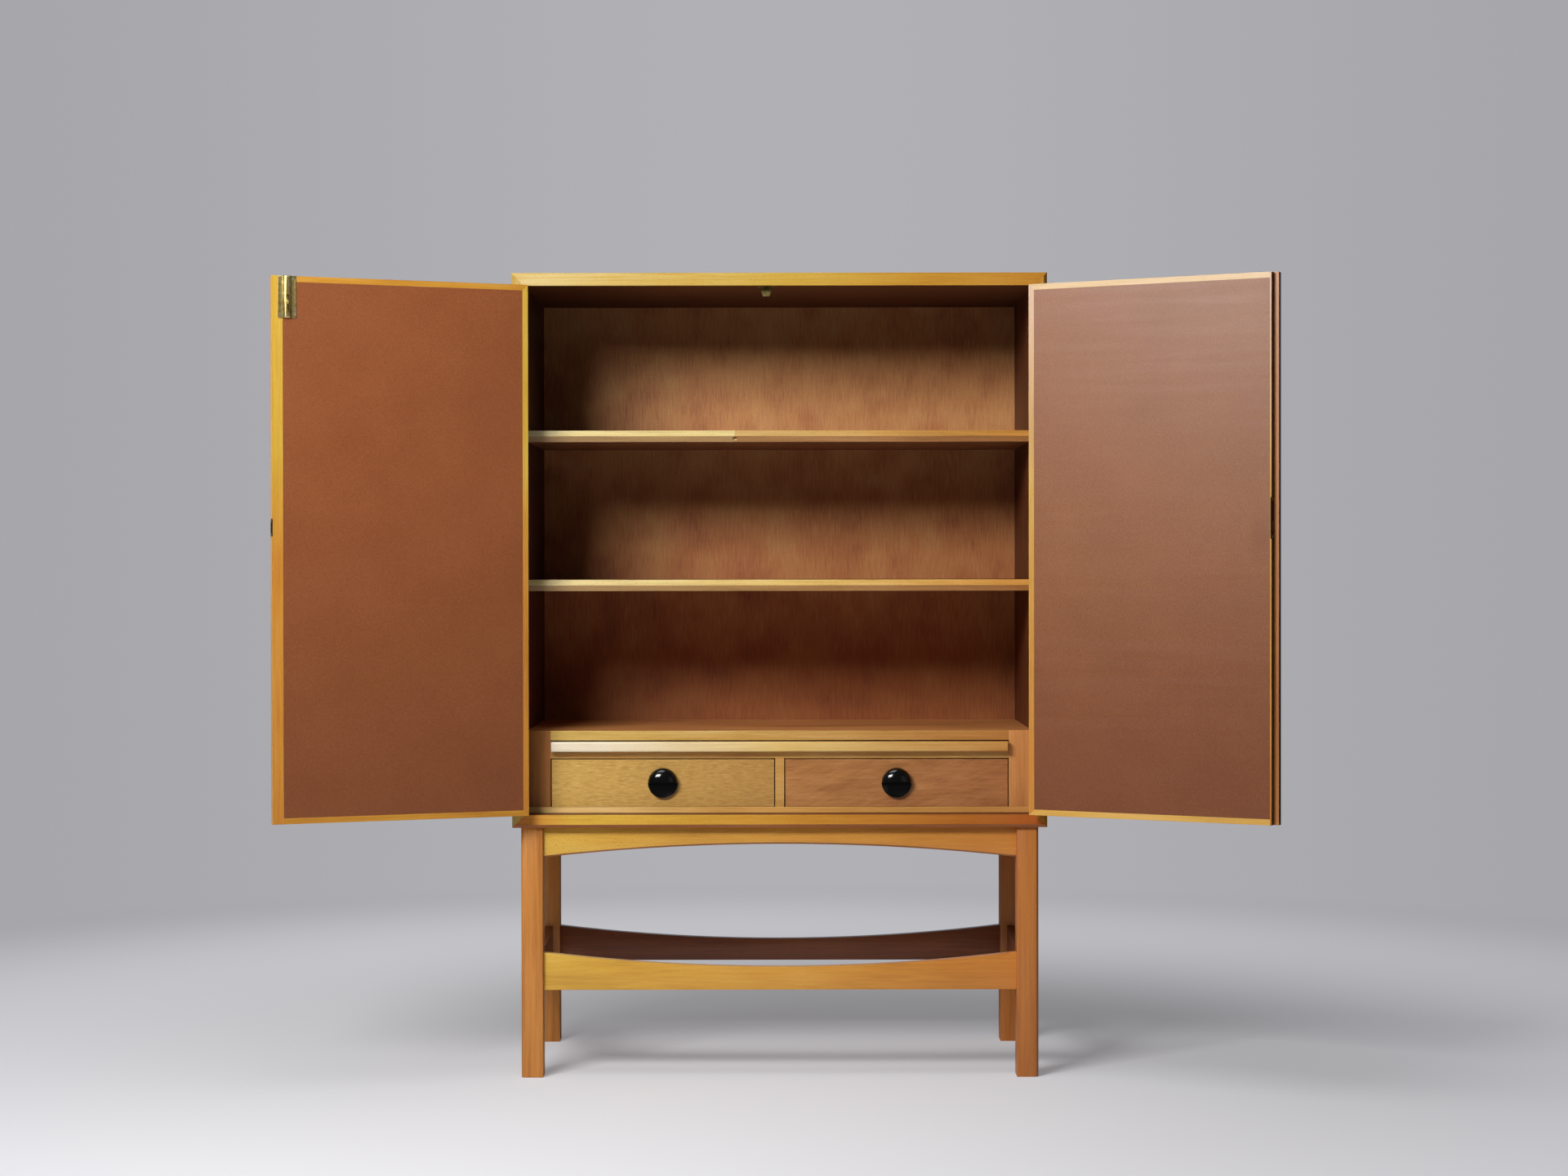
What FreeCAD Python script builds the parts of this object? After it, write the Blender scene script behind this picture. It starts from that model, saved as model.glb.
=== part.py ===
import FreeCAD, Part
import math
import os
import Sketcher
from types import SimpleNamespace
from FreeCAD import Placement, Rotation, Vector

# Storage cabinet on a stand: a mitred case with two rebated doors, two shelves, a pull-out shelf
# and two drawers with cup knobs, on four legs joined by arched aprons and stretchers.
# Lengths are in millimetres. Z is up, the front faces -Y, and the origin lies on the floor on the
# centre plane, midway between the back of the case and the edges of the open doors.

# Driving sizes

sizes = {
    # case
    "origin_to_front": 110,
    "carcass_width": 1030,
    "carcass_depth": 480,
    "carcass_height": 1067,
    "board_thick": 25,
    "edge_chamfer": 6.5,
    "back_panel_thick": 8,
    "back_recess": 8,
    "back_rebate": 10,
    "housing_depth": 6,
    "housing_stop": 10,
    "tool_overrun": 1,
    # shelves
    "shelf_thick": 22,
    "shelf_set_back": 76,
    "shelf_nose": 4,
    "upper_shelf_rise": 742.5,
    "lower_shelf_rise": 452,
    # frame round the drawers
    "frame_set_back": 53,
    "frame_thick": 19,
    "bottom_rail_height": 11,
    "drawer_opening": 94.5,
    "slide_rail_height": 13,
    "slide_opening": 22,
    "deck_thick": 18.5,
    "stile_width": 45.5,
    "divider_thick": 17.5,
    "runner_reach": 25,
    "guide_height": 20,
    # drawers
    "drawer_gap": 2,
    "running_gap": 0.3,
    "drawer_back_gap": 19,
    "drawer_front_thick": 18,
    "drawer_side_thick": 10,
    "drawer_side_height": 80,
    "drawer_back_thick": 10,
    "drawer_bottom_thick": 4,
    "drawer_bottom_rise": 8,
    "drawer_groove": 4,
    # cup knobs
    "knob_diameter": 58,
    "knob_projection": 25,
    "knob_rim": 3,
    "knob_floor": 3.5,
    "knob_dish": 3.5,
    "knob_dish_reach": 27,
    "knob_hollow_width": 38,
    "knob_hollow_depth": 14,
    "knob_hollow_rise": 6,
    "knob_screw_rise": 12,
    "knob_screw_bite": 9,
    "knob_screw_radius": 2,
    "knob_screw_head_radius": 4.5,
    "knob_screw_head_thick": 2.5,
    # pull-out shelf
    "slide_gap": 1.5,
    "slide_board_thick": 17,
    "slide_back_gap": 19,
    "slide_lip_height": 19.5,
    "slide_lip_thick": 18,
    "slide_lip_round": 3,
    # doors
    "door_thick": 24,
    "door_gap": 1.5,
    "door_lap": 10,
    "lap_thick": 12,
    "lipping_width": 11,
    "left_meeting_lipping": 21,
    "right_meeting_lipping": 13,
    "facing_thick": 3,
    "left_open_angle": 158,
    "right_open_angle": 151.5,
    # hinges
    "hinge_height": 70,
    "hinge_inset": 150,
    "leaf_thick": 1.6,
    "leaf_width": 18,
    "knuckle_radius": 4,
    "knuckle_gap": 0.2,
    "knuckle_room": 0.25,
    "pin_forward": 4.3,
    "pin_radius": 1.6,
    "pin_room": 0.05,
    "pin_cap_radius": 2.6,
    "pin_cap_thick": 1.5,
    "hinge_screw_inset": 12,
    # slide bolt on the left door
    "bolt_from_edge": 29.2,
    "bolt_case_width": 34,
    "bolt_case_length": 78,
    "bolt_sheet": 1.2,
    "bolt_channel_base": 16,
    "bolt_channel_crown": 11,
    "bolt_channel_height": 7,
    "bolt_bar_width": 8.4,
    "bolt_bar_thick": 4.6,
    "bolt_bar_end_gap": 6,
    "bolt_travel": 12,
    "bolt_knob_drop": 49.3,
    "bolt_stem_radius": 2.1,
    "bolt_button_radius": 4,
    "bolt_button_thick": 3.4,
    "bolt_button_chamfer": 1.8,
    "bolt_room": 0.35,
    "bolt_screw_inset": 8,
    "bolt_rivet_radius": 1.7,
    "bolt_rivet_rise": 0.3,
    "bolt_rivet_drop": 6,
    # keeper under the top
    "keeper_width": 31.5,
    "keeper_depth": 26,
    "keeper_thick": 1.5,
    "keeper_tongue_length": 18,
    "keeper_tongue_base": 24,
    "keeper_tongue_tip": 12.7,
    "keeper_socket_room": 0.6,
    "keeper_stop_gap": 0.5,
    # lock in the right door and its strike in the left door
    "lock_rise": 563.5,
    "lock_case_length": 45,
    "lock_case_height": 60,
    "lock_case_thick": 8,
    "lock_forend_height": 76,
    "lock_forend_thick": 2,
    "lock_forend_width": 11,
    "lock_set_in": 3.3,
    "lock_bolt_drop": 15,
    "lock_bolt_height": 18,
    "lock_bolt_thick": 5.5,
    "lock_bolt_length": 30,
    "lock_travel": 7,
    "lock_room": 0.2,
    "strike_height": 32,
    "strike_thick": 1.5,
    "strike_socket_room": 0.4,
    "strike_socket_depth": 9,
    "keyhole_radius": 2.6,
    "keyhole_slot_width": 2.2,
    "keyhole_slot_length": 9,
    "keyhole_from_edge": 27,
    "keyhole_rise": 8,
    "escutcheon_width": 14,
    "escutcheon_height": 30,
    "escutcheon_thick": 1.2,
    "escutcheon_round": 4.6,
    # stand
    "stand_height": 483,
    "leg_thick": 42,
    "leg_chamfer": 6.5,
    "leg_foot_ease": 2,
    "leg_side_inset": 16,
    "leg_front_inset": 15,
    "leg_back_inset": 5,
    "rail_thick": 20,
    "rail_set_in": 10,
    "side_stretcher_thick": 16,
    "tenon_thick": 8,
    "tenon_length": 15,
    "tenon_shoulder": 6,
    "apron_end_depth": 59,
    "apron_middle_depth": 33.5,
    "side_apron_middle_depth": 46,
    "apron_chamfer": 4,
    "stretcher_bottom": 168,
    "stretcher_end_depth": 72,
    "stretcher_middle_depth": 44,
    "side_stretcher_middle_depth": 58,
    "stretcher_ease": 2.2,
    "corner_block_reach": 60,
    "corner_block_height": 30,
    # wood screws
    "screw_head_radius": 2.8,
    "screw_shank_radius": 1.3,
    "screw_length": 12,
    "screw_slot": 0.8,
    "screw_room": 0.05,
    "panel_screw_length": 20,
    "panel_screw_inset": 5,
    "panel_screw_corner": 60,
    "stand_screw_length": 46,
    "stand_screw_radius": 2.4,
    "stand_screw_head_radius": 4.8,
    "stand_screw_from_leg": 12,
}

doc = FreeCAD.newDocument("storage_cabinet")
sheet = doc.addObject("Spreadsheet::Sheet", "sizes")
for row, (name, value) in enumerate(sizes.items(), start=1):
    sheet.set(f"A{row}", name)
    sheet.set(f"B{row}", str(value))
    sheet.setAlias(f"B{row}", name)
doc.recompute()


class Length:
    """A size that keeps the sheet formula it comes from, so that sums of sizes stay bound to the sheet."""

    def __init__(self, value, formula):
        self.value = value
        self.formula = formula

    def joined(self, sign, other, value):
        return Length(value, f"({self.formula} {sign} {as_length(other).formula})")

    def __add__(self, other):
        return self.joined("+", other, self.value + as_length(other).value)

    def __sub__(self, other):
        return self.joined("-", other, self.value - as_length(other).value)

    def __mul__(self, other):
        return self.joined("*", other, self.value * as_length(other).value)

    def __truediv__(self, other):
        return self.joined("/", other, self.value / as_length(other).value)

    def __neg__(self):
        return self * -1

    def __rmul__(self, number):
        return self * number


def as_length(number):
    return number if isinstance(number, Length) else Length(float(number), repr(float(number)))


ZERO = as_length(0)
s = SimpleNamespace(**{name: Length(float(getattr(sheet, name)), f"sizes.{name}") for name in sizes})

# Blocks, turned pieces, sketched bodies and the cuts between them

made_names = {}


def fresh(name):
    """A document name used once: the name itself, or with a count after it."""
    made_names[name] = made_names.get(name, 0) + 1
    return name if made_names[name] == 1 else f"{name}_{made_names[name]}"


def bind(feature, prop, length):
    feature.setExpression(prop, as_length(length).formula)


def put(feature, x, y, z):
    """Places a feature at a point given by three sizes."""
    for axis, length in zip("xyz", (x, y, z)):
        bind(feature, f"Placement.Base.{axis}", length)
    return feature


def span(side, near, far):
    """The low and high ends of a stretch that runs towards +X for side 1 and towards -X for side -1."""
    return (near, far) if side > 0 else (-far, -near)


def block(name, xs, ys, zs):
    """A rectangular piece between a low and a high end on each axis."""
    piece = doc.addObject("Part::Box", fresh(name))
    for prop, (low, high) in zip(("Length", "Width", "Height"), (xs, ys, zs)):
        bind(piece, prop, as_length(high) - low)
    return put(piece, xs[0], ys[0], zs[0])


AXIS_TURNS = {
    "x": Rotation(Vector(0, 1, 0), 90),
    "y": Rotation(Vector(1, 0, 0), -90),
    "z": Rotation(),
}


def rod(name, radius, length, x, y, z, axis="z"):
    """A cylinder that starts at a point and runs along one axis."""
    piece = doc.addObject("Part::Cylinder", fresh(name))
    bind(piece, "Radius", radius)
    bind(piece, "Height", length)
    piece.Placement = Placement(Vector(), AXIS_TURNS[axis])
    return put(piece, x, y, z)


def fused(name, pieces):
    union = doc.addObject("Part::MultiFuse", fresh(name))
    union.Shapes = pieces
    return union


def cut(name, base, tools):
    """The base piece with the tools taken away."""
    result = doc.addObject("Part::Cut", fresh(name))
    result.Base = base
    result.Tool = tools[0] if len(tools) == 1 else fused(name + "_tools", tools)
    return result


def grouped(name, pieces):
    """Like pieces kept as separate solids of one node."""
    group = doc.addObject("Part::Compound", fresh(name))
    group.Links = pieces
    return group


def new_body(name):
    return doc.addObject("PartDesign::Body", fresh(name))


def outline(body, plane, start, corners):
    """A closed sketch on one of the body's origin planes, moved to a start place along its normal.

    Each corner is a pair of sizes. A third entry, (rise, radius), makes the edge that leaves the
    corner an arc that bulges by rise to its left, and its radius follows the sizes too.
    """
    sketch = body.newObject("Sketcher::SketchObject", fresh(body.Name + "_outline"))
    role = plane + "_Plane"
    origin_plane = [feature for feature in body.Origin.OriginFeatures if feature.Role == role][0]
    sketch.AttachmentSupport = [(origin_plane, "")]
    sketch.MapMode = "FlatFace"
    bind(sketch, "AttachmentOffset.Base.z", -as_length(start) if plane == "XZ" else start)
    points = [Vector(as_length(corner[0]).value, as_length(corner[1]).value, 0) for corner in corners]
    for index, corner in enumerate(corners):
        begin = points[index]
        end = points[(index + 1) % len(points)]
        if len(corner) > 2:
            across = (end - begin).normalize()
            middle = (begin + end) / 2 + Vector(-across.y, across.x, 0) * corner[2][0].value
            sketch.addGeometry(Part.Arc(begin, middle, end))
        else:
            sketch.addGeometry(Part.LineSegment(begin, end))
    ends = []
    for index, begin in enumerate(points):
        first, last = (sketch.getPoint(index, place) for place in (1, 2))
        straight = first.distanceToPoint(begin) < last.distanceToPoint(begin)
        ends.append((1, 2) if straight else (2, 1))
    for index, corner in enumerate(corners):
        after = (index + 1) % len(corners)
        sketch.addConstraint(Sketcher.Constraint("Coincident", index, ends[index][1], after, ends[after][0]))
        for kind, size in zip(("DistanceX", "DistanceY"), corner[:2]):
            size = as_length(size)
            rule = Sketcher.Constraint(kind, -1, 1, index, ends[index][0], size.value)
            bind(sketch, f"Constraints[{sketch.addConstraint(rule)}]", size)
        if len(corner) > 2:
            rule = Sketcher.Constraint("Radius", index, corner[2][1].value)
            bind(sketch, f"Constraints[{sketch.addConstraint(rule)}]", corner[2][1])
    return sketch


def pad(body, plane, start, length, corners):
    """Grows the outline from its start place towards the positive end of the plane's normal axis."""
    sketch = outline(body, plane, start, corners)
    feature = body.newObject("PartDesign::Pad", fresh(body.Name + "_pad"))
    feature.Profile = sketch
    bind(feature, "Length", length)
    feature.Reversed = plane == "XZ"
    return feature


def pocket(body, plane, start, length, corners):
    """Cuts the outline away, and checks that the body got smaller."""
    doc.recompute()
    before = body.Shape.Volume
    sketch = outline(body, plane, start, corners)
    feature = body.newObject("PartDesign::Pocket", fresh(body.Name + "_pocket"))
    feature.Profile = sketch
    bind(feature, "Length", length)
    feature.Reversed = plane != "XZ"
    doc.recompute()
    if not body.Shape.Volume < before:
        raise RuntimeError(f"{feature.Name} cuts nothing")
    return feature


def rectangle(low, high):
    """The four corners between two opposite ones."""
    return [low, (high[0], low[1]), high, (low[0], high[1])]


def dress(body, kind, size, choose):
    """A chamfer or fillet on the edges of the body that the choice picks."""
    doc.recompute()
    base = body.Tip
    names = [f"Edge{index}" for index, edge in enumerate(base.Shape.Edges, start=1) if choose(edge)]
    if not names:
        raise RuntimeError(f"{body.Name} has no such edge")
    feature = body.newObject("PartDesign::" + kind, fresh(body.Name + "_" + kind.lower()))
    feature.Base = (base, names)
    bind(feature, "Size" if kind == "Chamfer" else "Radius", size)
    return feature


SAME = 1e-4


def lies_at(edge, x=None, y=None, z=None):
    """Whether both ends and the middle of an edge lie at the given places on the axes."""
    places = [vertex.Point for vertex in edge.Vertexes]
    places.append(edge.valueAt((edge.FirstParameter + edge.LastParameter) / 2))
    given = (("x", x), ("y", y), ("z", z))
    wanted = [(axis, as_length(size).value) for axis, size in given if size is not None]
    return all(abs(getattr(place, axis) - size) < SAME for place in places for axis, size in wanted)


def point(x, y, z):
    return Vector(as_length(x).value, as_length(y).value, as_length(z).value)


WOOD_SCREW = (s.screw_head_radius, s.screw_shank_radius, s.screw_length)
PANEL_SCREW = (s.screw_head_radius, s.screw_shank_radius, s.panel_screw_length)
STAND_SCREW = (s.stand_screw_head_radius, s.stand_screw_radius, s.stand_screw_length)


def screw_shape(place, into, kind, room=0.0):
    """A slotted countersunk screw whose head lies at a place, or with room round it, its hole."""
    head_radius, shank_radius, length = (size.value + room for size in kind)
    head_depth = head_radius - shank_radius
    shape = Part.makeCone(head_radius, shank_radius, head_depth, place, into)
    shape = shape.fuse(Part.makeCylinder(shank_radius, length, place, into))
    if room:
        return shape
    slot = s.screw_slot.value
    across = Part.makeBox(2 * head_radius, slot, slot, Vector(-head_radius, -slot / 2, 0))
    across.Placement = Placement(place, Rotation(Vector(0, 0, 1), into)).multiply(across.Placement)
    return shape.cut(across)


def screws(name, places):
    """A group of screws, each given as (place, direction, kind)."""
    feature = doc.addObject("Part::Feature", fresh(name))
    feature.Shape = Part.makeCompound([screw_shape(*item) for item in places])
    return feature


def screw_holes(name, places):
    """The holes for a group of screws, as one cutting tool."""
    feature = doc.addObject("Part::Feature", fresh(name + "_holes"))
    holes = [screw_shape(*item, room=s.screw_room.value) for item in places]
    feature.Shape = Part.makeCompound(holes)
    return feature


nodes = {}


def node(name, feature):
    """Names a finished sub-part."""
    feature.Label = name
    nodes[name] = feature
    return feature


# Levels and planes that the pieces share

front = -s.origin_to_front
back = front + s.carcass_depth
panel_front = back - s.back_recess - s.back_panel_thick
half = s.carcass_width / 2
inner = half - s.board_thick
underside = s.stand_height
inside_low = underside + s.board_thick
top = underside + s.carcass_height
inside_high = top - s.board_thick

frame_front = front + s.frame_set_back
frame_back = frame_front + s.frame_thick
drawer_low = inside_low + s.bottom_rail_height
drawer_high = drawer_low + s.drawer_opening
slide_low = drawer_high + s.slide_rail_height
deck_low = slide_low + s.slide_opening
deck_high = deck_low + s.deck_thick
stile_inner = inner - s.stile_width
divider_half = s.divider_thick / 2

upper_shelf_low = inside_low + s.upper_shelf_rise - s.shelf_thick
lower_shelf_low = inside_low + s.lower_shelf_rise - s.shelf_thick

pin_x = inner - s.door_gap / 2
pin_y = front - s.pin_forward
door_low = inside_low + s.door_gap
door_high = inside_high - s.door_gap
door_edge = s.door_gap / 2
door_front = s.pin_forward
door_back = s.pin_forward + s.door_thick
long_reach = pin_x + s.door_lap / 2 - s.door_gap / 2
short_reach = long_reach - s.door_lap
hinge_levels = [door_low + s.hinge_inset, door_high - s.hinge_inset - s.hinge_height]

bolt_reach = long_reach - s.bolt_from_edge
keeper_x = bolt_reach - pin_x

SIDES = {"left": 1, "right": -1}

# Screw places, in the frame of the piece that they hold

hinge_screw_depth = s.pin_forward + s.leaf_width / 2


def hinge_screw_places(side, towards):
    """Three screws in each hinge leaf: towards is 1 for the door's leaf and -1 for the case's leaf."""
    places = []
    direction = side * towards
    for low in hinge_levels:
        for level in (low + s.hinge_screw_inset, low + s.hinge_height / 2,
                      low + s.hinge_height - s.hinge_screw_inset):
            place = point(direction * door_edge, hinge_screw_depth, level)
            places.append((place, Vector(direction, 0, 0), WOOD_SCREW))
    return places


def moved(places, shift):
    return [(place + shift, into, kind) for place, into, kind in places]


pin_places = {name: Vector(-side * pin_x.value, pin_y.value, 0) for name, side in SIDES.items()}
case_hinge_screws = []
for name, side in SIDES.items():
    case_hinge_screws += moved(hinge_screw_places(side, -1), pin_places[name])

panel_screw_line = inner + s.back_rebate - s.panel_screw_inset
panel_screw_low = inside_low - s.back_rebate + s.panel_screw_inset
panel_screw_high = inside_high + s.back_rebate - s.panel_screw_inset
panel_back = panel_front + s.back_panel_thick
panel_screw_spots = [(x, z) for x in (-inner + s.panel_screw_corner, ZERO, inner - s.panel_screw_corner)
                     for z in (panel_screw_low, panel_screw_high)]
panel_screw_spots += [(x, z) for x in (-panel_screw_line, panel_screw_line)
                      for z in (inside_low + s.panel_screw_corner, (inside_low + inside_high) / 2,
                                inside_high - s.panel_screw_corner)]
panel_screws = [(point(x, panel_back, z), Vector(0, -1, 0), PANEL_SCREW) for x, z in panel_screw_spots]

keeper_front = pin_y + door_back - s.keeper_thick - s.keeper_socket_room
keeper_back = keeper_front + s.keeper_depth
tongue_front = pin_y + door_back + s.bolt_channel_height + s.keeper_stop_gap
keeper_screw_line = (tongue_front + s.keeper_thick + keeper_back) / 2
keeper_screws = [(point(keeper_x + shift, keeper_screw_line, inside_high), Vector(0, 0, 1), WOOD_SCREW)
                 for shift in (-s.keeper_width / 4, s.keeper_width / 4)]

leg_outer = half - s.leg_side_inset
leg_inner = leg_outer - s.leg_thick
leg_front = front + s.leg_front_inset
leg_back = back - s.leg_back_inset
block_line = leg_inner - s.stand_screw_from_leg
stand_screws = [(point(x, y, underside - s.corner_block_height), Vector(0, 0, 1), STAND_SCREW)
                for x in (-block_line, block_line)
                for y in (leg_front + s.leg_thick + s.stand_screw_from_leg,
                          leg_back - s.leg_thick - s.stand_screw_from_leg)]

# Case: four boards mitred at the corners, chamfered round the front and rebated for the back panel


def case_board(name, corners):
    """A mitred board: its end view, run from the front to the back of the case."""
    body = new_body(name)
    pad(body, "XZ", front, s.carcass_depth, corners)
    return body


socket_low = (keeper_x - s.bolt_bar_width / 2 - s.keeper_socket_room,
              pin_y + door_back + s.bolt_room - s.keeper_socket_room)
socket_high = (keeper_x + s.bolt_bar_width / 2 + s.keeper_socket_room,
               pin_y + door_back + s.bolt_room + s.bolt_bar_thick + s.keeper_socket_room)
socket_depth = s.bolt_travel + s.keeper_socket_room - s.door_gap

# The top: mitred ends, and under it the keeper's recess and the socket of the door bolt
carcass_top = case_board("carcass_top",
                         [(-half, top), (-inner, inside_high), (inner, inside_high), (half, top)])
pocket(carcass_top, "YZ", -half, s.carcass_width,
       rectangle((panel_front, inside_high - s.tool_overrun),
                 (back + s.tool_overrun, inside_high + s.back_rebate)))
dress(carcass_top, "Chamfer", s.edge_chamfer, lambda edge: lies_at(edge, y=front, z=top))
pocket(carcass_top, "XY", inside_high, s.keeper_thick,
       rectangle((keeper_x - s.keeper_width / 2, keeper_front), (keeper_x + s.keeper_width / 2, keeper_back)))
pocket(carcass_top, "XY", inside_high, socket_depth, rectangle(socket_low, socket_high))
node("carcass_top", cut("carcass_top_drilled", carcass_top,
                        [screw_holes("carcass_top", panel_screws + keeper_screws)]))

# The bottom: the same section turned over, with holes for the screws of the stand
carcass_bottom = case_board("carcass_bottom", [(-half, underside), (half, underside), (inner, inside_low),
                                               (-inner, inside_low)])
pocket(carcass_bottom, "YZ", -half, s.carcass_width,
       rectangle((panel_front, inside_low - s.back_rebate),
                 (back + s.tool_overrun, inside_low + s.tool_overrun)))
dress(carcass_bottom, "Chamfer", s.edge_chamfer, lambda edge: lies_at(edge, y=front, z=underside))
node("carcass_bottom", cut("carcass_bottom_drilled", carcass_bottom,
                           [screw_holes("carcass_bottom", panel_screws + stand_screws)]))

# The sides: housings for the shelves and the deck, and recesses for the hinge leaves
for name, side in SIDES.items():
    label = name + "_side"
    corners = [(-side * half, underside), (-side * inner, inside_low),
               (-side * inner, inside_high), (-side * half, top)]
    body = case_board(label, corners)
    in_board = span(-side, inner - s.tool_overrun, inner + s.back_rebate)
    pocket(body, "XY", underside, s.carcass_height,
           rectangle((in_board[0], panel_front), (in_board[1], back + s.tool_overrun)))
    dress(body, "Chamfer", s.edge_chamfer, lambda edge: lies_at(edge, x=-side * half, y=front))
    housing = span(-side, inner - s.tool_overrun, inner + s.housing_depth)
    shelf_start = front + s.shelf_set_back + s.shelf_nose + s.housing_stop
    for start, level, thick in ((shelf_start, upper_shelf_low, s.shelf_thick),
                                (shelf_start, lower_shelf_low, s.shelf_thick),
                                (frame_back + s.housing_stop, deck_low, s.deck_thick)):
        pocket(body, "XY", level, thick, rectangle((housing[0], start), (housing[1], panel_front)))
    recess = span(-side, inner - s.tool_overrun, inner + s.leaf_thick)
    for level in hinge_levels:
        pocket(body, "XY", level, s.hinge_height,
               rectangle((recess[0], front - s.tool_overrun), (recess[1], front + s.leaf_width)))
    node(label, cut(label + "_drilled", body, [screw_holes(label, case_hinge_screws + panel_screws)]))

# The back panel, screwed into the rebate
back_reach = inner + s.back_rebate
panel = block("back_sheet", (-back_reach, back_reach), (panel_front, panel_back),
              (inside_low - s.back_rebate, inside_high + s.back_rebate))
node("back_panel", cut("back_panel_drilled", panel, [screw_holes("back_panel", panel_screws)]))
node("carcass_screws", screws("carcass_screws", panel_screws + case_hinge_screws + keeper_screws))

# Shelves and deck


def shelf(name, low):
    """A shelf with a blunt V along its front edge and tongues that enter the sides short of the front."""
    body = new_body(name)
    nose = front + s.shelf_set_back
    square = nose + s.shelf_nose
    high = low + s.shelf_thick
    pad(body, "YZ", -inner, 2 * inner,
        [(nose, low + s.shelf_thick / 2), (square, low), (panel_front, low), (panel_front, high),
         (square, high)])
    reach = inner + s.housing_depth
    pad(body, "YZ", -reach, 2 * reach, rectangle((square + s.housing_stop, low), (panel_front, high)))
    return node(name, body)


shelf("upper_shelf", upper_shelf_low)
shelf("lower_shelf", lower_shelf_low)

# The deck over the drawers, notched round the stiles and housed in the sides
deck = new_body("deck")
deck_reach = inner + s.housing_depth
deck_half = [(stile_inner, frame_front), (stile_inner, frame_back), (inner, frame_back),
             (inner, frame_back + s.housing_stop), (deck_reach, frame_back + s.housing_stop),
             (deck_reach, panel_front)]
pad(deck, "XY", deck_low, s.deck_thick, deck_half + [(-x, y) for x, y in reversed(deck_half)])
node("deck", deck)

# Frame round the drawers and the pull-out shelf

frame_depth = (frame_front, frame_back)
node("drawer_stiles", grouped("drawer_stiles", [
    block(name + "_stile", span(-side, stile_inner, inner), frame_depth, (drawer_low, deck_high))
    for name, side in SIDES.items()]))
node("bottom_rail", block("bottom_rail", (-inner, inner), frame_depth, (inside_low, drawer_low)))
node("slide_rail", block("slide_rail", (-stile_inner, stile_inner), frame_depth, (drawer_high, slide_low)))

divider = new_body("drawer_divider")
pad(divider, "YZ", -divider_half, s.divider_thick,
    [(frame_front, drawer_low), (frame_back, drawer_low), (frame_back, inside_low), (panel_front, inside_low),
     (panel_front, drawer_high), (frame_front, drawer_high)])
node("drawer_divider", divider)

# Runners that carry the drawers and the pull-out shelf, with the guides beside them
runner_depth = (frame_back, panel_front)
drawer_runners = []
slide_runners = []
for name, side in SIDES.items():
    outer_run = span(-side, stile_inner - s.runner_reach, inner)
    guide_run = span(-side, stile_inner, inner)
    middle_run = span(-side, divider_half, divider_half + s.runner_reach)
    drawer_runners += [
        block("outer_runner", outer_run, runner_depth, (inside_low, drawer_low)),
        block("drawer_guide", guide_run, runner_depth, (drawer_low, drawer_low + s.guide_height)),
        block("middle_runner", middle_run, runner_depth, (inside_low, drawer_low))]
    slide_runners += [
        block("slide_runner", outer_run, runner_depth, (drawer_high, slide_low)),
        block("slide_guide", guide_run, runner_depth, (slide_low, deck_low))]
node("drawer_runners", grouped("drawer_runners", drawer_runners))
node("slide_runners", grouped("slide_runners", slide_runners))

# Pull-out shelf: a plain board with a thick lip, moulded for the fingers, across its front

slide_reach = stile_inner - s.slide_gap
slide_rest = slide_low + s.running_gap
node("pull_out_shelf", block("pull_out_shelf", (-slide_reach, slide_reach),
                             (frame_front, panel_front - s.slide_back_gap),
                             (slide_rest, slide_rest + s.slide_board_thick)))
lip = new_body("pull_out_lip")
lip_front = frame_front - s.slide_lip_thick
pad(lip, "YZ", -slide_reach, 2 * slide_reach,
    rectangle((lip_front, slide_rest), (frame_front, slide_rest + s.slide_lip_height)))
dress(lip, "Fillet", s.slide_lip_round, lambda edge: lies_at(edge, y=lip_front))
node("pull_out_lip", lip)

# Drawers

drawer_rest = drawer_low + s.running_gap
opening_half = (stile_inner - divider_half) / 2
knob_level = (drawer_low + drawer_high) / 2
knob_radius = s.knob_diameter / 2
knob_out = s.knob_projection - s.knob_rim


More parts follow.
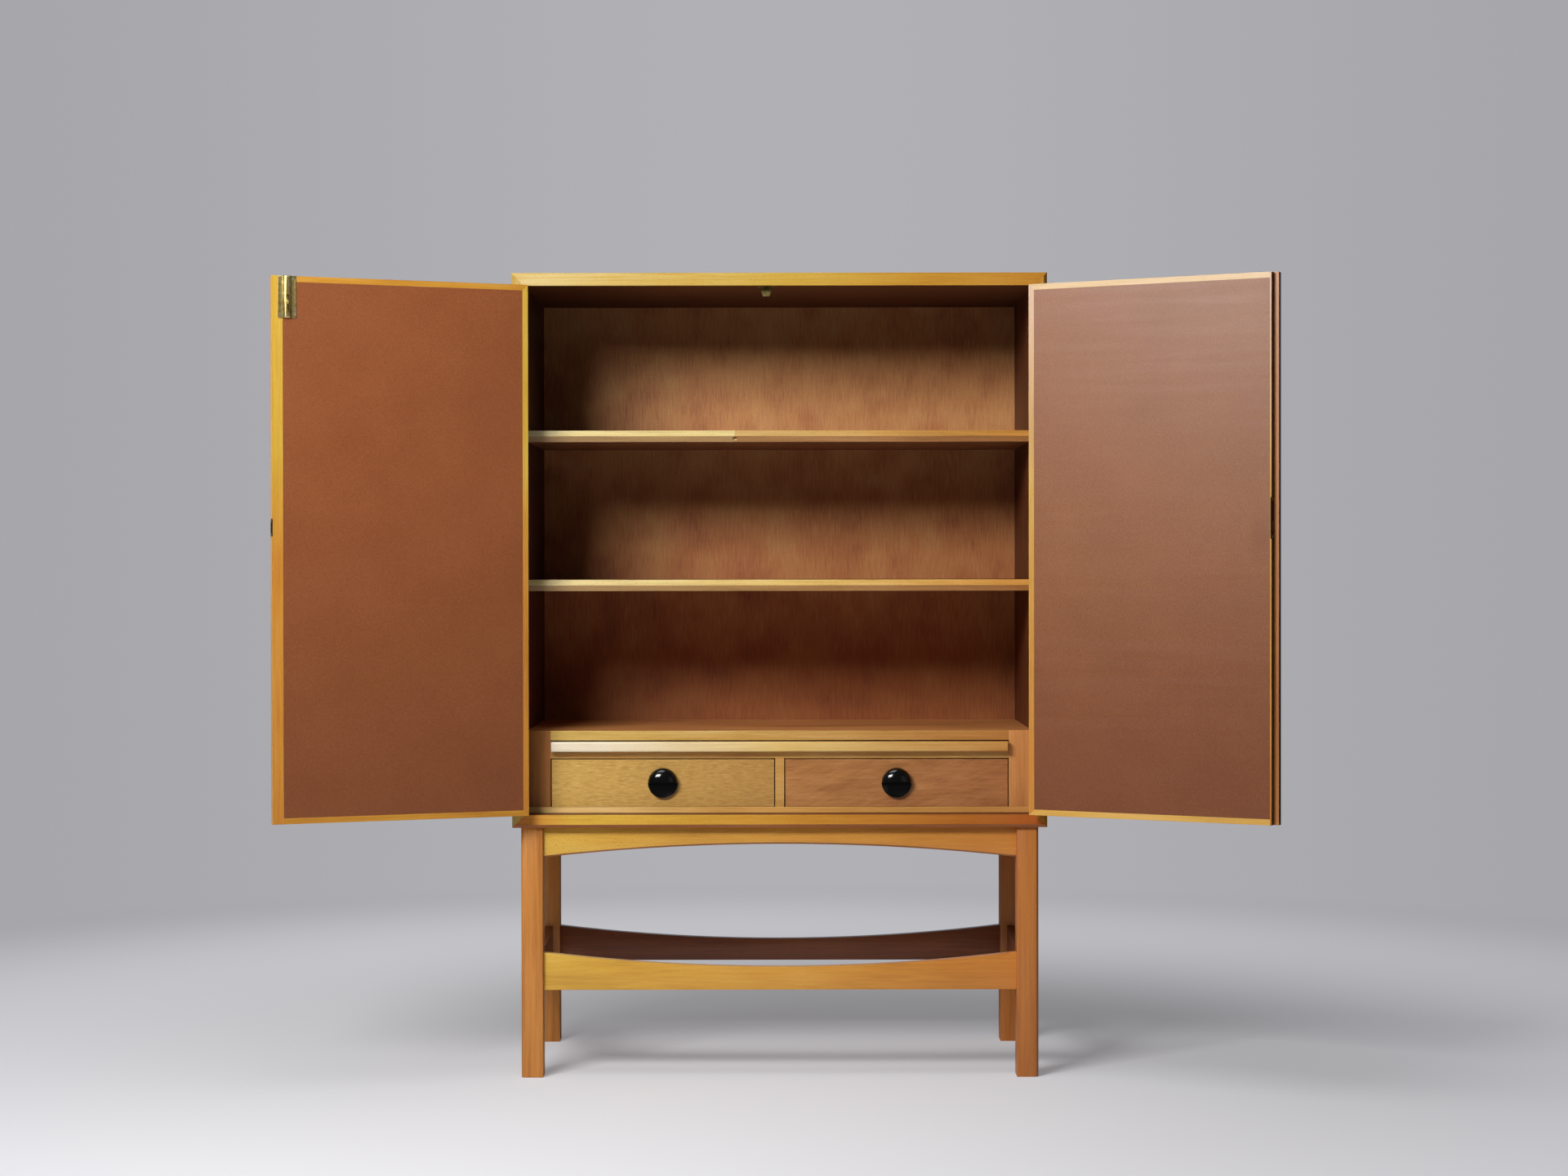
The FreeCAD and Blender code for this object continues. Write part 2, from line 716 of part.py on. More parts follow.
def cup_knob(name):
    """A dome on a short rim. Below its middle the dome gives way to a shallow dish, and a hollow
    reaches up behind the straight lip for the fingertips."""
    dome = new_body(name + "_dome")
    dome_radius = (knob_radius * knob_radius + knob_out * knob_out) / (2 * knob_out)
    # the arc of the dome swells outwards between the rim and the nose
    chord = Length(math.hypot(knob_radius.value, knob_out.value),
                   f"sqrt({(knob_radius * knob_radius + knob_out * knob_out).formula})")
    half_chord = chord / 2
    drop = dome_radius * dome_radius - half_chord * half_chord
    swell = dome_radius - Length(math.sqrt(drop.value), f"sqrt({drop.formula})")
    sketch = outline(dome, "XY", ZERO, [(ZERO, ZERO), (ZERO, -s.knob_projection, (-swell, dome_radius)),
                                        (knob_radius, -s.knob_rim), (knob_radius, ZERO)])
    turned = dome.newObject("PartDesign::Revolution", fresh(name + "_turned"))
    turned.Profile = sketch
    turned.ReferenceAxis = (sketch, ["V_Axis"])
    turned.Angle = 360
    # the dish is the hollow side of a large ball, kept below the middle of the knob
    reach = s.knob_dish_reach
    ball_radius = (reach * reach + s.knob_dish * s.knob_dish) / (2 * s.knob_dish)
    ball = doc.addObject("Part::Sphere", fresh(name + "_ball"))
    bind(ball, "Radius", ball_radius)
    put(ball, ZERO, -(s.knob_floor + ball_radius), ZERO)
    below = block(name + "_below", (-s.knob_diameter, s.knob_diameter),
                  (-2 * s.knob_projection, s.tool_overrun), (-s.knob_diameter, ZERO))
    dish = doc.addObject("Part::MultiCommon", fresh(name + "_dish"))
    dish.Shapes = [ball, below]
    hollow = doc.addObject("Part::Ellipsoid", fresh(name + "_hollow"))
    bind(hollow, "Radius1", s.knob_hollow_rise)
    bind(hollow, "Radius2", s.knob_hollow_width / 2)
    bind(hollow, "Radius3", s.knob_hollow_depth / 2)
    put(hollow, ZERO, -(s.knob_floor + s.knob_hollow_depth / 2), ZERO)
    hole = rod(name + "_hole", s.knob_screw_radius + s.screw_room, s.knob_screw_bite + s.screw_room,
               ZERO, -(s.knob_screw_bite + s.screw_room), s.knob_screw_rise, "y")
    return cut(name + "_scooped", dome, [dish, hollow, hole])


for name, side in SIDES.items():
    low_side, high_side = span(-side, divider_half + s.drawer_gap, stile_inner - s.drawer_gap)
    front_back = frame_front + s.drawer_front_thick
    drawer_end = panel_front - s.drawer_back_gap
    inside_left = low_side + s.drawer_side_thick
    inside_right = high_side - s.drawer_side_thick
    board_low = drawer_rest + s.drawer_bottom_rise
    board_high = board_low + s.drawer_bottom_thick
    side_high = drawer_rest + s.drawer_side_height
    bottom_xs = (inside_left - s.drawer_groove, inside_right + s.drawer_groove)
    bottom_ys = (front_back - s.drawer_groove, drawer_end)
    groove = block(name + "_groove", bottom_xs, bottom_ys, (board_low, board_high))
    knob_x = -side * (divider_half + opening_half)
    screw_level = knob_level + s.knob_screw_rise
    knob_hole = rod(name + "_knob_hole", s.knob_screw_radius + s.screw_room, s.drawer_front_thick,
                    knob_x, frame_front, screw_level, "y")
    face = block(name + "_face", (low_side, high_side), (frame_front, front_back),
                 (drawer_rest, drawer_high - s.drawer_gap))
    node(name + "_drawer_front", cut(name + "_face_worked", face, [groove, knob_hole]))
    box = [block(name + "_drawer_side", xs, (front_back, drawer_end), (drawer_rest, side_high))
           for xs in ((low_side, inside_left), (inside_right, high_side))]
    box.append(block(name + "_drawer_back", (inside_left, inside_right),
                     (drawer_end - s.drawer_back_thick, drawer_end), (board_high, side_high)))
    node(name + "_drawer_box", cut(name + "_box_grooved", grouped(name + "_box", box), [groove]))
    node(name + "_drawer_bottom",
         block(name + "_drawer_bottom", bottom_xs, bottom_ys, (board_low, board_high)))
    node(name + "_knob", put(cup_knob(name + "_knob"), knob_x, frame_front, knob_level))
    shank = rod(name + "_knob_shank", s.knob_screw_radius, s.drawer_front_thick + s.knob_screw_bite,
                knob_x, frame_front - s.knob_screw_bite, screw_level, "y")
    head = rod(name + "_knob_screw_head", s.knob_screw_head_radius, s.knob_screw_head_thick,
               knob_x, front_back, screw_level, "y")
    node(name + "_knob_screw", fused(name + "_knob_screw_whole", [shank, head]))

# Hinges: each leaf carries every other knuckle, and the pin passes through all of them

KNUCKLES = 5
knuckle_pitch = s.hinge_height / KNUCKLES


def hinge_leaf(name, side, towards, low):
    """One leaf, in the frame of the pin: towards is 1 for the door's leaf and -1 for the case's leaf."""
    own = range(1, KNUCKLES, 2) if towards > 0 else range(0, KNUCKLES, 2)
    other = [index for index in range(KNUCKLES) if index not in own]
    plate = block(name + "_plate", span(side * towards, door_edge, door_edge + s.leaf_thick),
                  (ZERO, s.pin_forward + s.leaf_width), (low, low + s.hinge_height))
    knuckles = [rod(name + "_knuckle", s.knuckle_radius, knuckle_pitch - s.knuckle_gap,
                    ZERO, ZERO, low + index * knuckle_pitch + s.knuckle_gap / 2) for index in own]
    room = [rod(name + "_room", s.knuckle_radius + s.knuckle_room, knuckle_pitch + s.knuckle_gap,
                ZERO, ZERO, low + index * knuckle_pitch - s.knuckle_gap / 2) for index in other]
    bore = rod(name + "_bore", s.pin_radius + s.pin_room, s.hinge_height, ZERO, ZERO, low)
    return cut(name, fused(name + "_blank", [plate] + knuckles), room + [bore])


def hinge_pin(name, side, low):
    """A pin with a cap at each end, resting on the outer knuckles."""
    x = -side * pin_x
    shank = rod(name, s.pin_radius, s.hinge_height, x, pin_y, low)
    caps = [rod(name + "_cap", s.pin_cap_radius, s.pin_cap_thick, x, pin_y, level)
            for level in (low - s.pin_cap_thick, low + s.hinge_height)]
    return fused(name + "_whole", [shank] + caps)


case_leaves = []
hinge_pins = []
for name, side in SIDES.items():
    for low in hinge_levels:
        leaf = put(hinge_leaf(name + "_case_leaf", side, -1, low), -side * pin_x, pin_y, ZERO)
        case_leaves.append(leaf)
        hinge_pins.append(hinge_pin(name + "_pin", side, low))
node("carcass_hinge_leaves", cut("carcass_hinge_leaves_drilled", grouped("case_leaves", case_leaves),
                                 [screw_holes("case_leaves", case_hinge_screws)]))
node("hinge_pins", grouped("hinge_pins", hinge_pins))

# Doors: a core with lippings on its four edges and a smooth facing on its inner face.
# Each door is built about its own hinge pin, as if closed, and then turned to its open angle.

lock_level = door_low + s.lock_rise
lock_bolt_level = lock_level - s.lock_bolt_drop
lock_middle = door_back - s.lock_set_in - s.lock_case_thick / 2
forend_depth = (door_back - s.lock_forend_width, door_back)
forend_back = short_reach - s.lock_forend_thick
open_angles = {"left": s.left_open_angle, "right": s.right_open_angle}


def turned_open(name, feature, door):
    """Places a door's piece on its pin and turns it open. The two doors turn opposite ways."""
    side = SIDES[door]
    angle = open_angles[door]
    feature.Placement = Placement(Vector(), Rotation(Vector(0, 0, -side), angle.value))
    bind(feature, "Placement.Rotation.Angle", angle)
    put(feature, -side * pin_x, pin_y, ZERO)
    return node(name, feature)


def about(middle, width):
    return (middle - width / 2, middle + width / 2)


def lock_socket(name, side, reach, room, depth):
    """The space round the lock bolt, from the meeting edge inwards, as a cutting tool."""
    return block(name, span(side, reach - depth, reach + s.tool_overrun),
                 about(lock_middle, s.lock_bolt_thick + 2 * room),
                 about(lock_bolt_level, s.lock_bolt_height + 2 * room))


def keyhole(name, side, ys):
    """A keyhole: a round eye with a slot below it."""
    x = side * (short_reach - s.keyhole_from_edge)
    level = lock_level + s.keyhole_rise
    low, high = ys
    eye = rod(name + "_eye", s.keyhole_radius, high - low, x, low, level, "y")
    slot = block(name + "_slot", about(x, s.keyhole_slot_width), ys, (level - s.keyhole_slot_length, level))
    return fused(name, [eye, slot])


bolt_flange_screw = s.bolt_case_width / 4 + s.bolt_channel_base / 4
bolt_screw_levels = (door_high - s.bolt_screw_inset, door_high - s.bolt_case_length + s.bolt_screw_inset)
bolt_case_screws = [(point(bolt_reach + across, door_back + s.bolt_sheet, level), Vector(0, -1, 0),
                     WOOD_SCREW)
                    for across in (-bolt_flange_screw, bolt_flange_screw) for level in bolt_screw_levels]
forend_screws = [(point(-short_reach, lock_middle, lock_level + shift), Vector(1, 0, 0), WOOD_SCREW)
                 for shift in about(ZERO, (s.lock_case_height + s.lock_forend_height) / 2)]
strike_screws = [(point(long_reach, lock_middle, lock_bolt_level + shift), Vector(-1, 0, 0), WOOD_SCREW)
                 for shift in about(ZERO, (s.lock_bolt_height + s.strike_height) / 2)]

for name, side in SIDES.items():
    meeting = s.left_meeting_lipping if name == "left" else s.right_meeting_lipping
    lip_depth = (door_front, door_back)
    core_edge = long_reach - meeting
    core_start = door_edge + s.lipping_width
    core_low = door_low + s.lipping_width
    core_high = door_high - s.lipping_width

    # the lippings at the hinge, top and bottom are mitred together, the meeting one runs full height
    hinge_lipping = new_body(name + "_hinge_lipping")
    pad(hinge_lipping, "XZ", door_front, s.door_thick,
        [(side * door_edge, door_low), (side * door_edge, door_high),
         (side * core_start, core_high), (side * core_start, core_low)])
    top_lipping = new_body(name + "_top_lipping")
    pad(top_lipping, "XZ", door_front, s.door_thick,
        [(side * door_edge, door_high), (side * core_edge, door_high),
         (side * core_edge, core_high), (side * core_start, core_high)])
    bottom_lipping = new_body(name + "_bottom_lipping")
    pad(bottom_lipping, "XZ", door_front, s.door_thick,
        [(side * door_edge, door_low), (side * core_edge, door_low),
         (side * core_edge, core_low), (side * core_start, core_low)])
    # the left door keeps its inner half long and the right door its outer half, so that they lap
    lap = door_front + s.lap_thick
    outer_reach, inner_reach = (short_reach, long_reach) if name == "left" else (long_reach, short_reach)
    meeting_lipping = new_body(name + "_meeting_lipping")
    pad(meeting_lipping, "XY", door_low, door_high - door_low,
        [(side * core_edge, door_front), (side * outer_reach, door_front), (side * outer_reach, lap),
         (side * inner_reach, lap), (side * inner_reach, door_back), (side * core_edge, door_back)])

    door_screws = hinge_screw_places(side, 1)
    door_screws += bolt_case_screws + strike_screws if name == "left" else forend_screws
    holes = screw_holes(name + "_door", door_screws)
    leaf_xs = span(side, door_edge - s.tool_overrun, door_edge + s.leaf_thick)
    leaf_ys = (door_front - s.tool_overrun, door_front + s.leaf_width)
    leaf_recess = [block(name + "_leaf_recess", leaf_xs, leaf_ys, (low, low + s.hinge_height))
                   for low in hinge_levels]
    if name == "left":
        strike_xs = (long_reach - s.strike_thick, long_reach + s.tool_overrun)
        fittings = [
            block("strike_recess", strike_xs, forend_depth, about(lock_bolt_level, s.strike_height)),
            lock_socket("strike_socket", side, long_reach, s.strike_socket_room, s.strike_socket_depth)]
    else:
        fittings = [
            block("forend_recess", span(side, forend_back, short_reach + s.tool_overrun), forend_depth,
                  about(lock_level, s.lock_forend_height)),
            block("case_mortise", span(side, forend_back - s.lock_case_length, short_reach),
                  about(lock_middle, s.lock_case_thick), about(lock_level, s.lock_case_height)),
            keyhole("keyhole", side, (door_front, lock_middle - s.lock_case_thick / 2))]
    lippings = grouped(name + "_lipping_set", [hinge_lipping, top_lipping, bottom_lipping, meeting_lipping])
    lippings = cut(name + "_lippings_worked", lippings, [holes] + leaf_recess + fittings)
    turned_open(name + "_door_lippings", lippings, name)
    core_xs = span(side, core_start, core_edge)
    core = block(name + "_core", core_xs, (door_front, door_back - s.facing_thick), (core_low, core_high))
    turned_open(name + "_door_core", cut(name + "_core_worked", core, [holes] + fittings), name)
    facing = block(name + "_facing", core_xs, (door_back - s.facing_thick, door_back), (core_low, core_high))
    if name == "left":
        facing = cut(name + "_facing_drilled", facing, [holes])
    else:
        facing = grouped(name + "_facing_laid", [facing])
    turned_open(name + "_door_facing", facing, name)
    leaves = [hinge_leaf(name + "_door_leaf", side, 1, low) for low in hinge_levels]
    leaves = cut(name + "_leaves_drilled", grouped(name + "_leaves", leaves), [holes])
    turned_open(name + "_door_hinge_leaves", leaves, name)
    turned_open(name + "_door_screws", screws(name + "_door_screws", door_screws), name)

# Slide bolt on the left door's inner face: a pressed case with a raised channel, and the bar in it

case_low = door_high - s.bolt_case_length
crown = door_back + s.bolt_channel_height
base_half = s.bolt_channel_base / 2
crown_half = s.bolt_channel_crown / 2
flank = s.bolt_sheet + s.bolt_room / 2
left_half = [(s.bolt_case_width / 2, door_back), (s.bolt_case_width / 2, door_back + s.bolt_sheet),
             (base_half, door_back + s.bolt_sheet), (crown_half, crown)]
left_inside = [(crown_half - flank / 2, crown - s.bolt_sheet), (base_half - flank, door_back)]
hat = [(bolt_reach - across, level) for across, level in left_half]
hat += [(bolt_reach + across, level) for across, level in reversed(left_half)]
hat += [(bolt_reach + across, level) for across, level in reversed(left_inside)]
hat += [(bolt_reach - across, level) for across, level in left_inside]
bolt_case = new_body("bolt_case")
pad(bolt_case, "XY", case_low, s.bolt_case_length, hat)
pad(bolt_case, "XY", case_low, s.bolt_sheet,
    [(bolt_reach - base_half, door_back), (bolt_reach + base_half, door_back),
     (bolt_reach + base_half, door_back + s.bolt_sheet), (bolt_reach + crown_half, crown),
     (bolt_reach - crown_half, crown), (bolt_reach - base_half, door_back + s.bolt_sheet)])
knob_rest = door_high - s.bolt_knob_drop
slot_half = s.bolt_stem_radius + s.bolt_room
pocket(bolt_case, "XZ", crown - s.bolt_sheet - s.tool_overrun, s.bolt_sheet + 2 * s.tool_overrun,
       rectangle((bolt_reach - slot_half, knob_rest - slot_half),
                 (bolt_reach + slot_half, knob_rest + s.bolt_travel + slot_half)))
rivet = rod("bolt_rivet", s.bolt_rivet_radius, s.bolt_rivet_rise, bolt_reach, crown,
            door_high - s.bolt_rivet_drop, "y")
bolt_shell = fused("bolt_case_riveted", [bolt_case, rivet])
bolt_shell = cut("bolt_case_drilled", bolt_shell, [screw_holes("bolt_case", bolt_case_screws)])
turned_open("bolt_case", bolt_shell, "left")

bar_back = door_back + s.bolt_room
bar_front = bar_back + s.bolt_bar_thick
bar = block("bolt_bar_blank", about(bolt_reach, s.bolt_bar_width), (bar_back, bar_front),
            (case_low + s.bolt_bar_end_gap, door_high))
button_back = crown + s.bolt_room
stem = rod("bolt_stem", s.bolt_stem_radius, button_back - bar_front, bolt_reach, bar_front, knob_rest, "y")
button = new_body("bolt_button")
pad(button, "XY", knob_rest - s.bolt_button_radius, 2 * s.bolt_button_radius,
    rectangle((bolt_reach - s.bolt_button_radius, button_back),
              (bolt_reach + s.bolt_button_radius, button_back + s.bolt_button_thick)))
dress(button, "Chamfer", s.bolt_button_chamfer,
      lambda edge: lies_at(edge, y=button_back + s.bolt_button_thick) or (
          abs(edge.Vertexes[0].Y - edge.Vertexes[-1].Y) > SAME))
turned_open("bolt_bar", fused("bolt_bar_whole", [bar, stem, button]), "left")

# Keeper of the slide bolt: a plate let into the top, with a tapered tongue that also stops the door
keeper = new_body("bolt_keeper")
pad(keeper, "XY", inside_high, s.keeper_thick,
    rectangle((keeper_x - s.keeper_width / 2, keeper_front), (keeper_x + s.keeper_width / 2, keeper_back)))
tongue_base = s.keeper_tongue_base / 2
tongue_tip = s.keeper_tongue_tip / 2
pad(keeper, "XZ", tongue_front, s.keeper_thick,
    [(keeper_x - tongue_base, inside_high), (keeper_x - tongue_tip, inside_high - s.keeper_tongue_length),
     (keeper_x + tongue_tip, inside_high - s.keeper_tongue_length), (keeper_x + tongue_base, inside_high)])
pocket(keeper, "XY", inside_high - s.tool_overrun, s.keeper_thick + 2 * s.tool_overrun,
       rectangle(socket_low, socket_high))
node("bolt_keeper", cut("bolt_keeper_drilled", keeper, [screw_holes("bolt_keeper", keeper_screws)]))

# Lock in the right door: a case behind a forend, its bolt, and the strike in the left door

lock_side = SIDES["right"]
forend = block("lock_forend", span(lock_side, forend_back, short_reach), forend_depth,
               about(lock_level, s.lock_forend_height))
case_block = block("lock_case_block", span(lock_side, forend_back - s.lock_case_length, forend_back),
                   about(lock_middle, s.lock_case_thick), about(lock_level, s.lock_case_height))
lock_channel = lock_socket("lock_channel", lock_side, short_reach, s.lock_room,
                           s.lock_bolt_length + s.lock_room)
lock_case = cut("lock_case_cut", fused("lock_case_blank", [forend, case_block]),
                [lock_channel, screw_holes("lock_case", forend_screws)])
turned_open("lock_case", lock_case, "right")
lock_tongue = block("lock_tongue", span(lock_side, short_reach - s.lock_bolt_length, short_reach),
                    about(lock_middle, s.lock_bolt_thick), about(lock_bolt_level, s.lock_bolt_height))
turned_open("lock_bolt", grouped("lock_bolt_laid", [lock_tongue]), "right")
strike_plate = block("strike_plate", (long_reach - s.strike_thick, long_reach), forend_depth,
                     about(lock_bolt_level, s.strike_height))
strike_hole = lock_socket("strike_hole", SIDES["left"], long_reach, s.strike_socket_room,
                          s.strike_socket_depth)
strike_tools = [strike_hole, screw_holes("lock_strike", strike_screws)]
turned_open("lock_strike", cut("lock_strike_cut", strike_plate, strike_tools), "left")

# The escutcheon: a plate with round ends, pierced with the keyhole
escutcheon_x = lock_side * (short_reach - s.keyhole_from_edge)
escutcheon_level = lock_level + s.keyhole_rise - s.keyhole_slot_length / 2
escutcheon = new_body("escutcheon_plate")
pad(escutcheon, "XZ", door_front - s.escutcheon_thick, s.escutcheon_thick,
    rectangle((escutcheon_x - s.escutcheon_width / 2, escutcheon_level - s.escutcheon_height / 2),
              (escutcheon_x + s.escutcheon_width / 2, escutcheon_level + s.escutcheon_height / 2)))
dress(escutcheon, "Fillet", s.escutcheon_round,
      lambda edge: abs(edge.Vertexes[0].Y - edge.Vertexes[-1].Y) > SAME)
escutcheon_hole = keyhole("escutcheon_hole", lock_side, (door_front - s.escutcheon_thick, door_front))
turned_open("escutcheon", cut("escutcheon_pierced", escutcheon, [escutcheon_hole]), "right")

# Stand: four legs, with aprons and stretchers tenoned into them

tenon_half = s.tenon_thick / 2
rail_line_x = leg_outer - s.rail_set_in - s.rail_thick / 2
rail_line_front = leg_front + s.rail_set_in + s.rail_thick / 2
rail_line_back = leg_back - s.rail_set_in - s.rail_thick / 2
apron_low = underside - s.apron_end_depth
stretcher_high = s.stretcher_bottom + s.stretcher_end_depth
apron_tenon = (apron_low + s.tenon_shoulder, underside - s.tenon_shoulder)
stretcher_tenon = (s.stretcher_bottom + s.tenon_shoulder, stretcher_high - s.tenon_shoulder)

for name, side in SIDES.items():
    for place in ("front", "back"):
        label = f"{place}_{name}_leg"
        low_x, high_x = span(-side, leg_inner, leg_outer)
        if place == "front":
            outer_y, rail_y = leg_front, rail_line_front
            low_y, high_y = leg_front, leg_front + s.leg_thick
            mortise_y = (high_y - s.tenon_length, high_y)
        else:
            outer_y, rail_y = leg_back, rail_line_back
            low_y, high_y = leg_back - s.leg_thick, leg_back
            mortise_y = (low_y, low_y + s.tenon_length)
        body = new_body(label)
        pad(body, "XY", ZERO, underside, rectangle((low_x, low_y), (high_x, high_y)))
        dress(body, "Chamfer", s.leg_chamfer, lambda edge: lies_at(edge, x=-side * leg_outer, y=outer_y))
        dress(body, "Chamfer", s.leg_foot_ease, lambda edge: lies_at(edge, z=ZERO))
        # mortises for the rails along X, then for those along Y
        mortise_x = span(-side, leg_inner, leg_inner + s.tenon_length)
        for tenon in (apron_tenon, stretcher_tenon):
            pocket(body, "XY", tenon[0], tenon[1] - tenon[0],
                   rectangle((mortise_x[0], rail_y - tenon_half), (mortise_x[1], rail_y + tenon_half)))
        rail_x = -side * rail_line_x
        for tenon in (apron_tenon, stretcher_tenon):
            pocket(body, "XY", tenon[0], tenon[1] - tenon[0],
                   rectangle((rail_x - tenon_half, mortise_y[0]), (rail_x + tenon_half, mortise_y[1])))
        node(label, body)


def arc_radius(reach, rise):
    """The radius of an arc with a given half span and rise."""
    return (reach * reach + rise * rise) / (2 * rise)


def rail(label, plane, line, thick, low_end, high_end, corners, tenon):
    """A rail with one curved edge: its outline, centred on its line, and a tenon at each end."""
    body = new_body(label)
    pad(body, plane, line - thick / 2, thick, corners)
    pad(body, plane, line - tenon_half, s.tenon_thick,
        rectangle((low_end - s.tenon_length, tenon[0]), (high_end + s.tenon_length, tenon[1])))
    return body


def apron(label, plane, line, low_end, high_end, middle_depth, outer_face):
    """An apron under the case, arched upwards along its lower edge, with a chamfer on the front arris."""
    rise = s.apron_end_depth - middle_depth
    radius = arc_radius((high_end - low_end) / 2, rise)
    corners = [(low_end, underside), (low_end, apron_low, (rise, radius)), (high_end, apron_low),
               (high_end, underside)]
    body = rail(label, plane, line, s.rail_thick, low_end, high_end, corners, apron_tenon)
    axis = "y" if plane == "XZ" else "x"
    dress(body, "Chamfer", s.apron_chamfer,
          lambda edge: edge.Curve.TypeId == "Part::GeomCircle" and lies_at(edge, **{axis: outer_face}))
    return node(label, body)


def stretcher(label, plane, line, thick, low_end, high_end, middle_depth):
    """A stretcher near the floor, hollowed along its upper edge, with all long arrises eased."""
    rise = s.stretcher_end_depth - middle_depth
    radius = arc_radius((high_end - low_end) / 2, rise)
    corners = [(low_end, s.stretcher_bottom), (high_end, s.stretcher_bottom),
               (high_end, stretcher_high, (rise, radius)), (low_end, stretcher_high)]
    body = rail(label, plane, line, thick, low_end, high_end, corners, stretcher_tenon)
    axis = "y" if plane == "XZ" else "x"
    faces = (line - thick / 2, line + thick / 2)

    def long_arris(edge):
        level = edge.Curve.TypeId == "Part::GeomCircle" or lies_at(edge, z=s.stretcher_bottom)
        return level and any(lies_at(edge, **{axis: face}) for face in faces)

    dress(body, "Chamfer", s.stretcher_ease, long_arris)
    return node(label, body)


ends_x = (-leg_inner, leg_inner)
ends_y = (leg_front + s.leg_thick, leg_back - s.leg_thick)
apron("front_apron", "XZ", rail_line_front, *ends_x, s.apron_middle_depth, rail_line_front - s.rail_thick / 2)
apron("back_apron", "XZ", rail_line_back, *ends_x, s.apron_middle_depth, rail_line_back + s.rail_thick / 2)
stretcher("front_stretcher", "XZ", rail_line_front, s.rail_thick, *ends_x, s.stretcher_middle_depth)
stretcher("back_stretcher", "XZ", rail_line_back, s.rail_thick, *ends_x, s.stretcher_middle_depth)
for name, side in SIDES.items():
    line = -side * rail_line_x
    apron(name + "_apron", "YZ", line, *ends_y, s.side_apron_middle_depth, line - side * s.rail_thick / 2)
    stretcher(name + "_stretcher", "YZ", line, s.side_stretcher_thick, *ends_y, s.side_stretcher_middle_depth)

# Corner blocks between the aprons and the legs, with the screws that hold the case
apron_inside_x = leg_outer - s.rail_set_in - s.rail_thick
corner_blocks = []
for name, side in SIDES.items():
    for place in ("front", "back"):
        turn = 1 if place == "front" else -1
        leg_y = leg_front + s.leg_thick if place == "front" else leg_back - s.leg_thick
        rail_y = (rail_line_front if place == "front" else rail_line_back) + turn * s.rail_thick / 2
        body = new_body("corner_block")
        pad(body, "XY", underside - s.corner_block_height, s.corner_block_height,
            [(-side * leg_inner, leg_y), (-side * leg_inner, rail_y),
             (-side * (apron_inside_x - s.corner_block_reach), rail_y),
             (-side * apron_inside_x, rail_y + turn * s.corner_block_reach),
             (-side * apron_inside_x, leg_y)])
        corner_blocks.append(body)
node("corner_blocks", cut("corner_blocks_drilled", grouped("corner_block_set", corner_blocks),
                          [screw_holes("corner_blocks", stand_screws)]))
node("stand_screws", screws("stand_screws", stand_screws))

# Check every object, then write one file for each sub-part

doc.recompute()
for feature in doc.Objects:
    if "Invalid" in feature.State or "Error" in feature.State:
        raise RuntimeError(f"{feature.Name} failed: {feature.State}")
faulty = [name for name, feature in nodes.items() if feature.Shape.isNull() or not feature.Shape.isValid()]
if faulty:
    raise RuntimeError(f"no valid shape: {faulty}")

os.makedirs("parts", exist_ok=True)
for name, feature in nodes.items():
    feature.Shape.exportStep(f"parts/{name}.step")
print(f"{len(nodes)} sub-parts, {sum(len(feature.Shape.Solids) for feature in nodes.values())} solids")
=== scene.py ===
import math

import bpy
from mathutils import Matrix, Vector


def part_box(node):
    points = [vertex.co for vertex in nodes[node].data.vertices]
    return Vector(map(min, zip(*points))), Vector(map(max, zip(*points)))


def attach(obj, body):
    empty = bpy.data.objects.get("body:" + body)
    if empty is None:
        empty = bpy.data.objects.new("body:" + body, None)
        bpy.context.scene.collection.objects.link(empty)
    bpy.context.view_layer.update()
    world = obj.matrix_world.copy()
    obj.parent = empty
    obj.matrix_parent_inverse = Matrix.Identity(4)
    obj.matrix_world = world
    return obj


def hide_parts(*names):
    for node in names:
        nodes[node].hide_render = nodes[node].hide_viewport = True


# A storage cabinet of varnished beech and mahogany veneer, on an open stand, with its doors open.
# Everything is in metres in the frame of the CAD model: Z up, and the cabinet faces -Y.
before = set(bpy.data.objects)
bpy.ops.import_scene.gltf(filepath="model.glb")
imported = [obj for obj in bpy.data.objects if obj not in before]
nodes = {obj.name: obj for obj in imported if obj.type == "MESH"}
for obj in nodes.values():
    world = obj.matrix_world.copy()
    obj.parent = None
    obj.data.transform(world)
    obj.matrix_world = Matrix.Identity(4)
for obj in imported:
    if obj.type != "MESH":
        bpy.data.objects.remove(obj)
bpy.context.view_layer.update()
bpy.ops.object.select_all(action="DESELECT")

# The camera: a long lens 5.5 m in front of the case, almost square on and 0.98 m above the floor,
# with the small turns, tilt and rise of the photograph.
camera_data = bpy.data.cameras.new("studio_camera")
camera = bpy.data.objects.new("studio_camera", camera_data)
bpy.context.scene.collection.objects.link(camera)
bpy.context.scene.camera = camera
image_width = 1920
focal_pixels = 3484.5
rise_pixels = 4.8
camera_place = (0.0022, -5.577, 0.980)
turn, tilt, roll = math.radians(-0.068), math.radians(90.0 - 0.455), math.radians(-0.077)
camera_data.sensor_width = 36.0
camera_data.lens = focal_pixels / image_width * camera_data.sensor_width
camera_data.shift_y = rise_pixels / image_width
camera.matrix_world = (Matrix.Translation(camera_place) @ Matrix.Rotation(turn, 4, "Z")
                       @ Matrix.Rotation(tilt, 4, "X") @ Matrix.Rotation(roll, 4, "Z"))

# Studio light: a tall soft box in front to the left, a wide weak one to the right and one overhead.
# The left one gives the pale sheen on the right door and leaves the left end of the inside dark.


